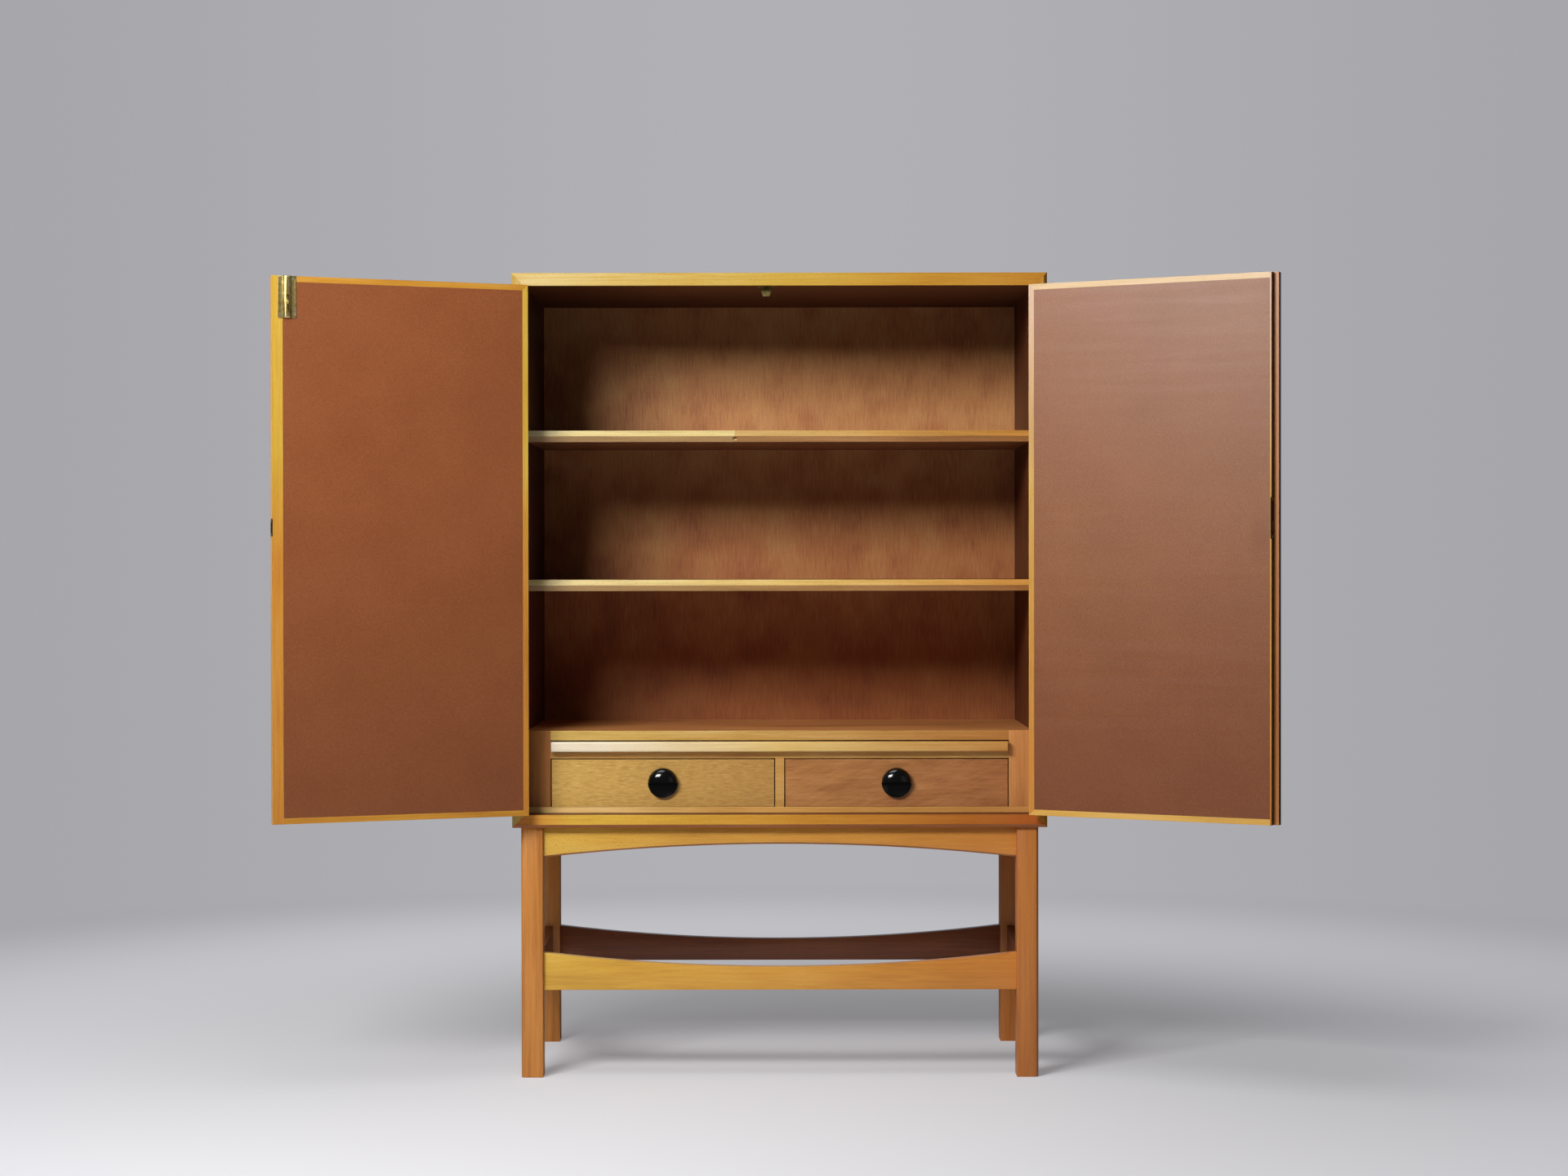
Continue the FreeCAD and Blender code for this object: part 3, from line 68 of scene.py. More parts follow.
def soft_box(name, place, aim, width, height, power):
    """A rectangular lamp of a given size that faces a point."""
    lamp = bpy.data.lights.new(name, "AREA")
    lamp.shape = "RECTANGLE"
    lamp.size, lamp.size_y = width, height
    lamp.energy = power
    holder = bpy.data.objects.new(name, lamp)
    bpy.context.scene.collection.objects.link(holder)
    holder.location = place
    holder.rotation_euler = (Vector(aim) - Vector(place)).to_track_quat("-Z", "Y").to_euler()


soft_box("key_box", place=(-1.45, -2.50, 2.33), aim=(0.05, -0.1, 0.95), width=1.35, height=0.8, power=94.0)
soft_box("fill_box", place=(2.9, -3.9, 1.7), aim=(0.0, 0.0, 0.8), width=2.4, height=2.0, power=3.0)
soft_box("top_box", place=(-0.9, -1.0, 4.2), aim=(-0.3, -0.1, 0.0), width=2.2, height=1.8, power=44.0)

# Backdrop: a grey studio that the camera and reflections see, and a plain weak light from all round.
# The grey is palest straight behind the cabinet and falls off a little towards both sides. Reflections
# see it at full strength only straight behind, and a fifth as bright to the sides and in front.


def linear(hex_colour):
    """An sRGB hex colour as linear red, green, blue and 1."""
    channels = [int(hex_colour[i:i + 2], 16) / 255 for i in (1, 3, 5)]
    return [c / 12.92 if c <= 0.04045 else ((c + 0.055) / 1.055) ** 2.4 for c in channels] + [1.0]


def add(tree, kind, inputs={}, stops=None, **settings):
    """Adds a node with its settings. Each input gets a value, or a link from another node's output."""
    node = tree.nodes.new("ShaderNode" + kind)
    for name, value in settings.items():
        setattr(node, name, value)
    if stops:
        ramp = node.color_ramp
        while len(ramp.elements) < len(stops):
            ramp.elements.new(0.5)
        for element, (place, colour) in zip(ramp.elements, stops):
            element.position = place
            element.color = colour
    for name, value in inputs.items():
        if isinstance(value, bpy.types.NodeSocket):
            tree.links.new(value, node.inputs[name])
        else:
            node.inputs[name].default_value = value
    return node


def backdrop_grey(tree, sideways, forwards):
    """The backdrop's colour in a direction, from how far that direction leads sideways."""
    lean = add(tree, "Math", {0: sideways, 1: forwards}, operation="DIVIDE")
    lean = add(tree, "Math", {0: lean.outputs[0]}, operation="ABSOLUTE")
    fall = add(tree, "MapRange", {"Value": lean.outputs[0], "From Max": 0.30},
               interpolation_type="SMOOTHSTEP")
    grey = add(tree, "Mix", {0: fall.outputs[0], 6: linear("#B1B1B5"), 7: linear("#A7A6AB")},
               data_type="RGBA")
    return grey.outputs[2]


world = bpy.data.worlds.new("studio")
bpy.context.scene.world = world
world.use_nodes = True
world.node_tree.nodes.clear()
tree = world.node_tree
spot = add(tree, "TexCoord")
way = add(tree, "SeparateXYZ", {"Vector": spot.outputs["Object"]})
ray = add(tree, "LightPath")
dim_end = add(tree, "MapRange", {"Value": way.outputs["Y"], "From Min": 0.5, "From Max": 0.9,
                                 "To Min": 0.2, "To Max": 1.0})
mirrored = add(tree, "Math", {0: ray.outputs["Is Glossy Ray"], 1: dim_end.outputs[0]},
               operation="MULTIPLY")
seen = add(tree, "Math", {0: ray.outputs["Is Camera Ray"], 1: mirrored.outputs[0]}, operation="MAXIMUM")
seen = add(tree, "Math", {0: seen.outputs[0], 1: ray.outputs["Is Transmission Ray"]}, operation="MAXIMUM")
ambient = add(tree, "Background", {"Color": linear("#FFFFFF"), "Strength": 0.03})
backdrop = add(tree, "Background", {"Color": backdrop_grey(tree, way.outputs["X"], way.outputs["Y"]),
                                    "Strength": 1.0})
light = add(tree, "MixShader", {0: seen.outputs[0], 1: ambient.outputs[0], 2: backdrop.outputs[0]})
add(tree, "OutputWorld", {"Surface": light.outputs[0]})

# The floor: matt pale paper that runs off into the backdrop's grey some metres from the cabinet. A
# little of its paleness, as the camera sees it, is painted light that the paper gives off itself,
# brightest near the cabinet, and it keeps the cabinet's shadow soft and light.


def new_material(name):
    """An empty material and its node tree."""
    material = bpy.data.materials.new(name)
    material.use_nodes = True
    material.node_tree.nodes.clear()
    return material, material.node_tree


# the backdrop's grey falls off to both sides of a line that runs back from this point
sweep_front = (0.0, -5.58, 0.0)
bpy.ops.mesh.primitive_circle_add(vertices=96, radius=60.0, fill_type="NGON", location=(0, 0, 0))
floor = bpy.context.object
floor.name = "studio_floor"
paper, tree = new_material("pale_floor_paper")
spot = add(tree, "TexCoord")
under_cabinet = (0.0, 0.0, 0.0)
reach = add(tree, "VectorMath", {0: spot.outputs["Object"], 1: under_cabinet}, operation="DISTANCE")
fade = add(tree, "MapRange", {"Value": reach.outputs["Value"], "From Min": 0.9, "From Max": 3.4,
                              "To Min": 0.22}, interpolation_type="SMOOTHSTEP")
ray = add(tree, "LightPath")
gone = add(tree, "Math", {0: fade.outputs[0], 1: ray.outputs["Is Camera Ray"]}, operation="MULTIPLY")
away = add(tree, "VectorMath", {0: spot.outputs["Object"], 1: sweep_front}, operation="SUBTRACT")
way = add(tree, "SeparateXYZ", {"Vector": away.outputs["Vector"]})
sheet = add(tree, "BsdfDiffuse", {"Color": linear("#E3E3E5")})
# painted light: the paper gives off more of it within 1.3 m of the cabinet, a painted patch of light
painted_light_pool = add(tree, "MapRange", {"Value": reach.outputs["Value"], "From Min": 1.3, "From Max": 3.2,
                              "To Min": 2.3, "To Max": 1.0}, interpolation_type="SMOOTHSTEP")
painted_light_emission = add(tree, "Emission", {"Color": backdrop_grey(tree, way.outputs["X"], way.outputs["Y"]),
                              "Strength": painted_light_pool.outputs[0]})
mixed = add(tree, "MixShader", {0: gone.outputs[0], 1: sheet.outputs[0], 2: painted_light_emission.outputs[0]})
add(tree, "OutputMaterial", {"Surface": mixed.outputs[0]})
floor.data.materials.append(paper)

# Legs: four straight squares of orange-brown beech, each with a wide chamfer down its outer corner, the
# other arrises sanded round. The grain runs up the leg. Stub tenons hold the aprons and stretchers.

# which way each grain name turns a pattern that runs along X
GRAIN = {"x": (0, 0, 0), "y": (0, 0, math.pi / 2), "z": (0, math.pi / 2, 0)}


def wood(name, grain, tones, change=None, edge=None, band=0.006, length=0.30, drift=0.05, contrast=1.0,
         pore=0.0009, pores=0.35, rays=0.0, figure=None, under=None, outside=None, gloss=0.42,
         coat=0.22, shine=0.5, place=(0, 0, 0)):
    """A wood under varnish, its grain drawn in real sizes and all in metres.

    Tones run from dark to light. change is an axis, a place on it, and then a place and tones for
    each stage that the tones change to on the way; on several pieces this change is painted light and
    shade. edge is the Y plane in front of which a board shows solid wood, with that wood's tones and
    change. band, length and drift are the width and length of the growth bands and the width of the
    slow change over the board. pore is the width of the dark pores, pores and rays say how strong
    pores and ray flecks are. figure is the width, depth and slant of bands that cross the board. under
    gives the tones of faces that look down, which are painted shade.
    outside is an axis, how far out on it the outer veneer of a board lies, and that veneer's tones.
    """
    material, tree = new_material(name)
    turn = GRAIN[grain] if isinstance(grain, str) else grain
    spot = add(tree, "TexCoord")
    spread = 0.17 / contrast
    fibre_length, fibre_width = 0.03, 0.0011
    slow_share, band_share, fibre_share = 0.42, 0.40, 0.18
    wave_height, wave_depth = 0.07, 0.4
    veneer_thickness = 0.0006
    sanded_round = 0.0009

    def streaks(long, wide, detail=2.0, shift=0.0, distortion=0.0):
        """A pattern of streaks along the grain, of a length and width."""
        laid = add(tree, "Mapping", {"Vector": spot.outputs["Object"], "Rotation": turn,
                                     "Location": Vector(place) + Vector((shift,) * 3),
                                     "Scale": (long, wide, wide)}, vector_type="TEXTURE")
        noise = add(tree, "TexNoise", {"Vector": laid.outputs[0], "Scale": 1.0, "Detail": detail,
                                       "Roughness": 0.55, "Distortion": distortion})
        return noise.outputs["Fac"]

    def stained(tone, tones, change):
        """The colour for a tone between dark and pale, with its change along an axis."""
        dark, middle, pale = (linear(hex_colour) for hex_colour in tones)
        stops = [(0.5 - spread, dark), (0.5, middle), (0.5 + spread, pale)]
        colour = add(tree, "ValToRGB", {"Fac": tone}, stops=stops).outputs["Color"]
        if change:
            axis, start, *stages = change
            along = add(tree, "SeparateXYZ", {"Vector": spot.outputs["Object"]}).outputs[axis.upper()]
            for end, later_tones in stages:
                reach = add(tree, "MapRange", {"Value": along, "From Min": start, "From Max": end})
                colour = add(tree, "Mix", {0: reach.outputs[0], 6: colour,
                                           7: stained(tone, later_tones, None)},
                             data_type="RGBA").outputs[2]
                start = end
        return colour

    slow = streaks(length * 2.2, drift, 1.0, 0.31)
    bands = streaks(length, band, 3.0, 0.11, 0.4)
    fibres = streaks(fibre_length, fibre_width, 2.0, 0.57)
    tone = add(tree, "Math", {0: slow, 1: slow_share}, operation="MULTIPLY")
    tone = add(tree, "Math", {0: bands, 1: band_share, 2: tone.outputs[0]}, operation="MULTIPLY_ADD")
    tone = add(tree, "Math", {0: fibres, 1: fibre_share, 2: tone.outputs[0]}, operation="MULTIPLY_ADD")
    if figure:
        width, depth, slant = figure
        tilted = add(tree, "Mapping", {"Vector": spot.outputs["Object"], "Location": place,
                                       "Rotation": (0, slant, 0),
                                       "Scale": (width, wave_depth, wave_height)},
                     vector_type="TEXTURE")
        waves = add(tree, "TexNoise", {"Vector": tilted.outputs[0], "Scale": 1.0, "Detail": 2.0,
                                       "Roughness": 0.6, "Distortion": 0.3})
        wave = add(tree, "Math", {0: waves.outputs["Fac"], 1: 0.5}, operation="SUBTRACT")
        tone = add(tree, "Math", {0: wave.outputs[0], 1: depth, 2: tone.outputs[0]},
                   operation="MULTIPLY_ADD")
    colour = stained(tone.outputs[0], tones, change)
    if outside:
        axis, distance, veneer_tones = outside
        outwards = add(tree, "SeparateXYZ", {"Vector": spot.outputs["Object"]}).outputs[axis.upper()]
        outwards = add(tree, "Math", {0: outwards}, operation="ABSOLUTE")
        outer = add(tree, "Math", {0: outwards.outputs[0], 1: distance - veneer_thickness},
                    operation="GREATER_THAN")
        colour = add(tree, "Mix", {0: outer.outputs[0], 6: colour,
                                   7: stained(tone.outputs[0], veneer_tones, None)},
                     data_type="RGBA").outputs[2]
    if edge:
        plane, edge_tones, edge_change = edge
        solid = stained(tone.outputs[0], edge_tones, edge_change)
        across = add(tree, "SeparateXYZ", {"Vector": spot.outputs["Object"]})
        near = add(tree, "Math", {0: across.outputs["Y"], 1: plane}, operation="LESS_THAN")
        colour = add(tree, "Mix", {0: near.outputs[0], 6: colour, 7: solid}, data_type="RGBA").outputs[2]
    # painted shade: faces that look down take the under tones
    if under:
        face = add(tree, "NewGeometry")
        facing = add(tree, "SeparateXYZ", {"Vector": face.outputs["True Normal"]})
        painted_shade_downward = add(tree, "MapRange", {"Value": facing.outputs["Z"], "From Min": -0.15,
                                          "From Max": -0.45})
        colour = add(tree, "Mix", {0: painted_shade_downward.outputs[0], 6: colour,
                                   7: stained(tone.outputs[0], under, None)},
                     data_type="RGBA").outputs[2]
    # pores are dashes along the grain six times as long as wide, ray flecks are 5 mm long across it
    marks = [(pore * 6, pore, 0.60, 0.74, pores, 0.83)]
    if rays:
        marks.append((0.0012, 0.005, 0.57, 0.68, rays, 0.47))
    for long, wide, low_mark, high_mark, strength, shift in marks:
        dashes = streaks(long, wide, 1.0, shift)
        dash = add(tree, "MapRange", {"Value": dashes, "From Min": low_mark, "From Max": high_mark,
                                      "To Max": strength})
        colour = add(tree, "Mix", {0: dash.outputs[0], 6: colour, 7: linear(tones[0])},
                     data_type="RGBA").outputs[2]
    lift = add(tree, "Bevel", {"Radius": sanded_round}, samples=4)
    bump = add(tree, "Bump", {"Height": fibres, "Normal": lift.outputs[0], "Strength": 0.10,
                              "Distance": 0.0004})
    rough = add(tree, "MapRange", {"Value": bands, "From Min": 0.3, "From Max": 0.7,
                                   "To Min": gloss - 0.04, "To Max": gloss + 0.05})
    skin = add(tree, "BsdfPrincipled", {"Base Color": colour, "Roughness": rough.outputs[0],
                                        "Normal": bump.outputs[0], "Specular IOR Level": shine,
                                        "Coat Weight": coat, "Coat Roughness": 0.24, "Coat IOR": 1.5,
                                        "IOR": 1.45})
    add(tree, "OutputMaterial", {"Surface": skin.outputs[0]})
    return material


def block(name, low, high):
    """A block between two corners, left as the active object."""
    low, high = Vector(low), Vector(high)
    bpy.ops.object.select_all(action="DESELECT")
    bpy.ops.mesh.primitive_cube_add(size=1.0, location=(low + high) / 2)
    piece = bpy.context.object
    piece.name = name
    piece.scale = high - low
    bpy.ops.object.transform_apply(location=True, rotation=True, scale=True)
    return piece


def pick(piece):
    """Makes a piece the only selected and the active object."""
    bpy.ops.object.select_all(action="DESELECT")
    bpy.context.view_layer.objects.active = piece
    piece.select_set(True)


def bevel_edges(piece, wanted, width, segments=1, measure="WIDTH"):
    """Bevels the edges whose two ends both pass a test."""
    pick(piece)
    bpy.ops.object.mode_set(mode="EDIT")
    bpy.ops.mesh.select_mode(type="EDGE")
    bpy.ops.mesh.select_all(action="DESELECT")
    bpy.ops.object.mode_set(mode="OBJECT")
    for edge in piece.data.edges:
        edge.select = all(wanted(piece.data.vertices[index].co) for index in edge.vertices)
    bpy.ops.object.mode_set(mode="EDIT")
    bpy.ops.mesh.bevel(offset=width, offset_type=measure, segments=segments)
    bpy.ops.object.mode_set(mode="OBJECT")


def ease(piece, width, segments=3, angle=30):
    """Rounds every edge sharper than an angle, as sanding does."""
    change = piece.modifiers.new("eased", "BEVEL")
    change.width = width
    change.segments = segments
    change.limit_method = "ANGLE"
    change.angle_limit = math.radians(angle)
    pick(piece)
    bpy.ops.object.modifier_apply(modifier=change.name)


def place_piece(piece, material, slot, body, *replaced, smooth=True):
    """Shades a finished piece, gives it its material, applies its place, ties it to its body and hides the
    CAD nodes it replaces. slot is not used.
    """
    pick(piece)
    bpy.ops.object.transform_apply(location=True, rotation=True, scale=True)
    if smooth:
        bpy.ops.object.shade_smooth_by_angle(angle=math.radians(32))
    else:
        bpy.ops.object.shade_flat()
    piece.data.materials.clear()
    piece.data.materials.append(material)
    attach(piece, body)
    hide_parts(*replaced)


leg_tones = ("#9C5D1E", "#C67F34", "#DA9645")
leg_change = ("x", -0.45, (0.45, ("#915019", "#B86D2C", "#CA833B")))
leg_chamfer = 0.0065
leg_arris = 0.0014
on_plane = 1e-5
for label, side_x, side_y in (("front_left", -1, -1), ("front_right", 1, -1),
                              ("back_left", -1, 1), ("back_right", 1, 1)):
    low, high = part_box(label + "_leg")
    leg = block(label + "_leg_turned_out", low, high)
    outer_x = low.x if side_x < 0 else high.x
    outer_y = low.y if side_y < 0 else high.y
    bevel_edges(leg, lambda point: abs(point.x - outer_x) < on_plane and abs(point.y - outer_y) < on_plane,
                leg_chamfer)
    ease(leg, leg_arris, 2)
    tint = wood(label + "_leg_varnished_beech", "z", leg_tones, leg_change, band=0.005, length=0.16,
                drift=0.03, contrast=0.8, place=(side_x * 0.7, side_y * 0.4, 0.1))
    place_piece(leg, tint, "amber_mahogany", "cabinet", label + "_leg")

# Aprons under the case: beech rails with a long arch sawn into the lower edge, and a soft chamfer along
# it. They are toned golden on the left and more orange on the right, partly as painted light from the
# lamp on the left, their faces that look down are painted shade, and small flecks show where the rays are
# cut.
rail_tones = ("#B98629", "#D5A63A", "#E0B853")
# partly painted light: golden on the left, turning orange to the right
rail_change = ("x", -0.45, (0.45, ("#B26623", "#CE7F31", "#DB9241")))
# painted shade for the faces that look down
rail_painted_underside_shade = ("#8A4E22", "#A8683A", "#BC8050")
arch_chamfer = 0.0034
apron_arris = 0.0009
near_plane = 1e-4


def carve(piece, tool):
    """Cuts one piece with another, which is used up."""
    change = piece.modifiers.new("cut", "BOOLEAN")
    change.object = tool
    change.operation = "DIFFERENCE"
    change.solver = "EXACT"
    pick(piece)
    bpy.ops.object.modifier_apply(modifier=change.name)
    bpy.data.objects.remove(tool)


def long_rail(name, low, high, along, arch_depth, upwards):
    """A rail with a shallow arch cut from its lower edge, or from its upper edge."""
    piece = block(name, low, high)
    half = (high[along] - low[along]) / 2
    radius = (half * half + arch_depth * arch_depth) / (2 * arch_depth)
    centre = (Vector(low) + Vector(high)) / 2
    edge = low.z + arch_depth if upwards else high.z - arch_depth
    centre.z = edge - radius if upwards else edge + radius
    turn = (math.pi / 2, 0, 0) if along == 0 else (0, math.pi / 2, 0)
    bpy.ops.object.select_all(action="DESELECT")
    bpy.ops.mesh.primitive_cylinder_add(vertices=512, radius=radius, depth=0.2, location=centre,
                                        rotation=turn)
    carve(piece, bpy.context.object)
    return piece


leg_gap = {0: (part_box("front_left_leg")[1].x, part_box("front_right_leg")[0].x),
           1: (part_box("front_left_leg")[1].y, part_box("back_left_leg")[0].y)}
for label, along, arch in (("front_apron", 0, 0.0255), ("back_apron", 0, 0.0255),
                           ("left_apron", 1, 0.013), ("right_apron", 1, 0.013)):
    low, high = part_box(label)
    low[along], high[along] = leg_gap[along]
    apron = long_rail(label + "_arched", low, high, along, arch, True)
    across = 1 - along
    for face_side in (low[across], high[across]):
        bevel_edges(apron, lambda point: abs(point[across] - face_side) < on_plane
                    and point.z < low.z + arch + near_plane, arch_chamfer, measure="OFFSET")
    ease(apron, apron_arris, 2)
    tint = wood(label + "_golden_beech", "xy"[along], rail_tones, rail_change, band=0.004, length=0.09,
                contrast=0.75, pore=0.0014, pores=0.22, rays=0.8, under=rail_painted_underside_shade,
                place=(0.2 * len(label), 0.3, 0.7))
    place_piece(apron, tint, "amber_beech", "cabinet", label)

# Stretchers near the floor: hollowed along the upper edge and rounded on all the arrises. The front
# one is the golden beech of the aprons, with their painted light and painted shade; the others are
# toned a darker brown.
brown_tones = ("#5F2C0D", "#7D401A", "#935325")
stretcher_arris = 0.0034
for label, along, arch in (("front_stretcher", 0, 0.028), ("back_stretcher", 0, 0.028),
                           ("left_stretcher", 1, 0.014), ("right_stretcher", 1, 0.014)):
    low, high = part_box(label)
    low[along], high[along] = leg_gap[along]
    stretcher = long_rail(label + "_hollowed", low, high, along, arch, False)
    ease(stretcher, stretcher_arris, 3)
    if label == "front_stretcher":
        tint = wood(label + "_golden_beech", "x", rail_tones, rail_change, band=0.004, length=0.10,
                    contrast=0.75, pore=0.0014, pores=0.22, rays=0.4, under=rail_painted_underside_shade,
                    place=(0.3 * len(label), 0.1, 0.4))
    else:
        tint = wood(label + "_brown_beech", "xy"[along], brown_tones, band=0.006, length=0.18,
                    pore=0.0016, pores=0.28, place=(0.3 * len(label), 0.1, 0.4))
    place_piece(stretcher, tint, "amber_beech", "cabinet", label)

# Corner blocks and steel: planed beech blocks glued behind the apron corners, with a long screw in each
# up into the case. Screws and the lock's bolt are dull rolled steel, its case and strike are blackened.


def finish_with(node_names, material):
    """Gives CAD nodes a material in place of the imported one."""
    for name in node_names:
        node = nodes[name]
        node.data.materials.clear()
        node.data.materials.append(material)


finish_with(["corner_blocks"], wood("corner_blocks_planed_beech", "x", ("#A87B45", "#C59A62", "#D6B27E"),
                                    gloss=0.5, coat=0.0, shine=0.3, place=(0.2, 0.6, 0.4)))
for name, dark, pale, steel_nodes in (
        ("dull_rolled_steel", "#4E4A46", "#8B8782",
         ["stand_screws", "left_knob_screw", "right_knob_screw", "lock_bolt"]),
        ("blackened_lock_steel", "#14110F", "#2C2825", ["lock_case", "lock_strike"])):
    material, tree = new_material(name)
    spot = add(tree, "TexCoord")
    # rolling marks 0.8 mm apart and 20 mm long
    mark_size = (0.0008, 0.0008, 0.02)
    marks = add(tree, "Mapping", {"Vector": spot.outputs["Object"], "Scale": mark_size},
                vector_type="TEXTURE")
    lines = add(tree, "TexNoise", {"Vector": marks.outputs[0], "Scale": 1.0, "Detail": 3.0})
    stops = [(0.35, linear(dark)), (0.65, linear(pale))]
    colour = add(tree, "ValToRGB", {"Fac": lines.outputs["Fac"]}, stops=stops)
    rough = add(tree, "MapRange", {"Value": lines.outputs["Fac"], "To Min": 0.32, "To Max": 0.5})
    skin = add(tree, "BsdfPrincipled", {"Base Color": colour.outputs["Color"], "Metallic": 1.0,
                                        "Roughness": rough.outputs[0]})
    add(tree, "OutputMaterial", {"Surface": skin.outputs[0]})
    finish_with(steel_nodes, material)

# Case boards: mahogany-faced boards mitred at the corners, with golden beech along their front edges.
# The grain follows each board and turns at the mitres. The inside has a thin dull coat, and the outside
# is veneered like the doors.
front_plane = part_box("left_side")[0].y
# partly painted light and sheen: the beech front edges are pale and yellow on the left, darker and more
# orange on the right, for the lamp on the left
edge_tones = ("#A67F34", "#C3A455", "#D1BE8D")
edge_change = ("x", -0.45, (0.0, ("#A17217", "#BD932A", "#CAAA4A")),
               (0.50, ("#A46514", "#C18326", "#CF9843")))
low_edge_tones = ("#A8601C", "#C8802F", "#D89848")
low_edge_change = ("x", -0.49, (-0.40, ("#BA8A28", "#DAAF40", "#E8CA68")),
                   (0.0, ("#A86A16", "#C68A29", "#D4A048")), (0.50, ("#904009", "#AA5415", "#B66229")))
board_tones = ("#3D1B0B", "#5E2E15", "#743E20")
# painted shade: the left side's inside is toned darker than the other boards
painted_shade_board_tones = ("#2B1107", "#45200F", "#562C18")
# painted shade for the bottom board's faces that look down
bottom_painted_underside_shade = ("#80482A", "#AB693D", "#BE8054")
outer_tones = ("#8A5228", "#B0743C", "#C88F52")
edge_depth = 0.0068
for label, grain, tones, outer_axis in (("carcass_top", "x", board_tones, "z"),
                                        ("carcass_bottom", "x", board_tones, "x"),
                                        ("left_side", "z", painted_shade_board_tones, "x"),
                                        ("right_side", "z", board_tones, "x")):
    low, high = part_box(label)
    outer_distance = high.z if outer_axis == "z" else max(-low.x, high.x)
    is_bottom = label == "carcass_bottom"
    edge = (front_plane + edge_depth, low_edge_tones if is_bottom else edge_tones,
            low_edge_change if is_bottom else edge_change)
    tint = wood(label + "_mahogany_board", grain, tones, band=0.004, length=0.14, drift=0.05, contrast=0.7,
                gloss=0.5, coat=0.0, shine=0.3, under=bottom_painted_underside_shade if is_bottom else None,
                outside=(outer_axis, outer_distance, outer_tones), place=(0.13 * len(label), 0.5, 0.2),
                edge=edge)
    finish_with([label], tint)

# Back panel: ribbon mahogany plywood let into a rebate and screwed. Its grain is upright, in fine light
# and dark ribbons a few millimetres wide. It is toned paler towards the top, which is partly painted
# light on the upper compartments. The outside is toned like the doors.
panel_tones = ("#703A21", "#94562F", "#A46C3E")
# partly painted light: the panel grows paler from 0.78 m up to 1.3 m
panel_change = ("z", 0.78, (1.0, ("#904C31", "#B67445", "#C8925A")),
                (1.30, ("#A5603C", "#D2915B", "#E2AE70")))
finish_with(["back_panel"],
            wood("back_panel_ribbon_mahogany", "z", panel_tones, panel_change,
                 band=0.0028, length=0.035, drift=0.07, contrast=0.7, pore=0.0010, pores=0.38,
                 figure=(0.05, 0.10, 0.0), outside=("y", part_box("back_panel")[1].y, outer_tones),
                 gloss=0.5, coat=0.0, shine=0.25, place=(0.4, 0, 0.9)))

# Shelves and deck: mahogany-faced boards housed in the sides, with a beech front edge that is planed to
# a blunt V on the shelves. The upper one is lipped in two lengths and has lost a chip where they meet.
# partly painted sheen and light: the edges are creamy on the left and orange on the right, for the lamp on
# the left
shelf_edge_tones = ("#B79F62", "#D8C382", "#E6D9AE")
shelf_edge_change = ("x", -0.45, (0.0, ("#B48E3E", "#D5B15D", "#E2C582")),
                     (0.45, ("#AB6F26", "#CE903A", "#DEA657")))
deck_edge_tones = ("#A98438", "#CCAB58", "#DBC786")
deck_edge_change = ("x", -0.45, (0.45, ("#8E5721", "#B37434", "#CA8F4A")))
shelf_face = ("#46220F", "#683619", "#7E4826")
deck_face = ("#9E5F32", "#CD884C", "#E0A062")
# painted shade for the faces that look down
shelf_painted_underside_shade = ("#6E3A1C", "#925832", "#A86C44")
nose_depth = 0.009
joint_x = -0.0862
joint_half, joint_depth, overrun = 0.0007, 0.0022, 0.001
chip_radii = (0.0050, 0.0060, 0.0040)
chip_in, chip_up = 0.0010, 0.0055
# past the joint the upper shelf's edge also turns orange towards the right as painted light
# the tone changes over two millimetres where the two lengths meet
two_lengths = ("x", -0.45, (joint_x - 0.001, ("#B5985A", "#D7BF78", "#E4D4A2")),
               (joint_x + 0.001, ("#A47C38", "#C29C55", "#D2B276")),
               (0.45, ("#AB6F26", "#CE903A", "#DEA657")))


def copy_of(node, name):
    """A piece with a copy of a CAD node's mesh, which is still loose triangles."""
    piece = bpy.data.objects.new(name, nodes[node].data.copy())
    bpy.context.scene.collection.objects.link(piece)
    return piece


def weld(piece):
    """Joins a piece's triangles where their corners meet."""
    pick(piece)
    bpy.ops.object.mode_set(mode="EDIT")
    bpy.ops.mesh.select_all(action="SELECT")
    bpy.ops.mesh.remove_doubles(threshold=1e-6)
    bpy.ops.object.mode_set(mode="OBJECT")


for label, set_back, face, tones, change in (
        ("upper_shelf", 0.076, shelf_face, shelf_edge_tones, two_lengths),
        ("lower_shelf", 0.076, shelf_face, shelf_edge_tones, shelf_edge_change),
        ("deck", 0.053, deck_face, deck_edge_tones, deck_edge_change)):
    tint = wood(label + "_mahogany_face", "x", face, band=0.004, length=0.14,
                drift=0.05, contrast=0.8, place=(0.6 * len(label), 0.2, 0.1), under=shelf_painted_underside_shade,
                edge=(front_plane + set_back + nose_depth, tones, change))
    if label == "upper_shelf":
        low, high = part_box(label)
        shelf = copy_of(label, "upper_shelf_chipped")
        weld(shelf)
        # a chip 10 mm wide out of the lower half of the nose
        bpy.ops.object.select_all(action="DESELECT")
        bpy.ops.mesh.primitive_uv_sphere_add(segments=24, ring_count=12, radius=1.0,
                                             location=(joint_x, low.y + chip_in, low.z + chip_up))
        chip = bpy.context.object
        chip.scale = chip_radii
        bpy.ops.object.transform_apply(location=True, rotation=True, scale=True)
        carve(shelf, chip)
        # the open joint between the two lengths, from top to bottom of the nose
        groove = block("open_joint", (joint_x - joint_half, low.y - overrun, low.z - overrun),
                       (joint_x + joint_half, low.y + joint_depth, high.z + overrun))
        carve(shelf, groove)
        place_piece(shelf, tint, "amber_beech", "cabinet", label, smooth=False)
    else:
        finish_with([label], tint)

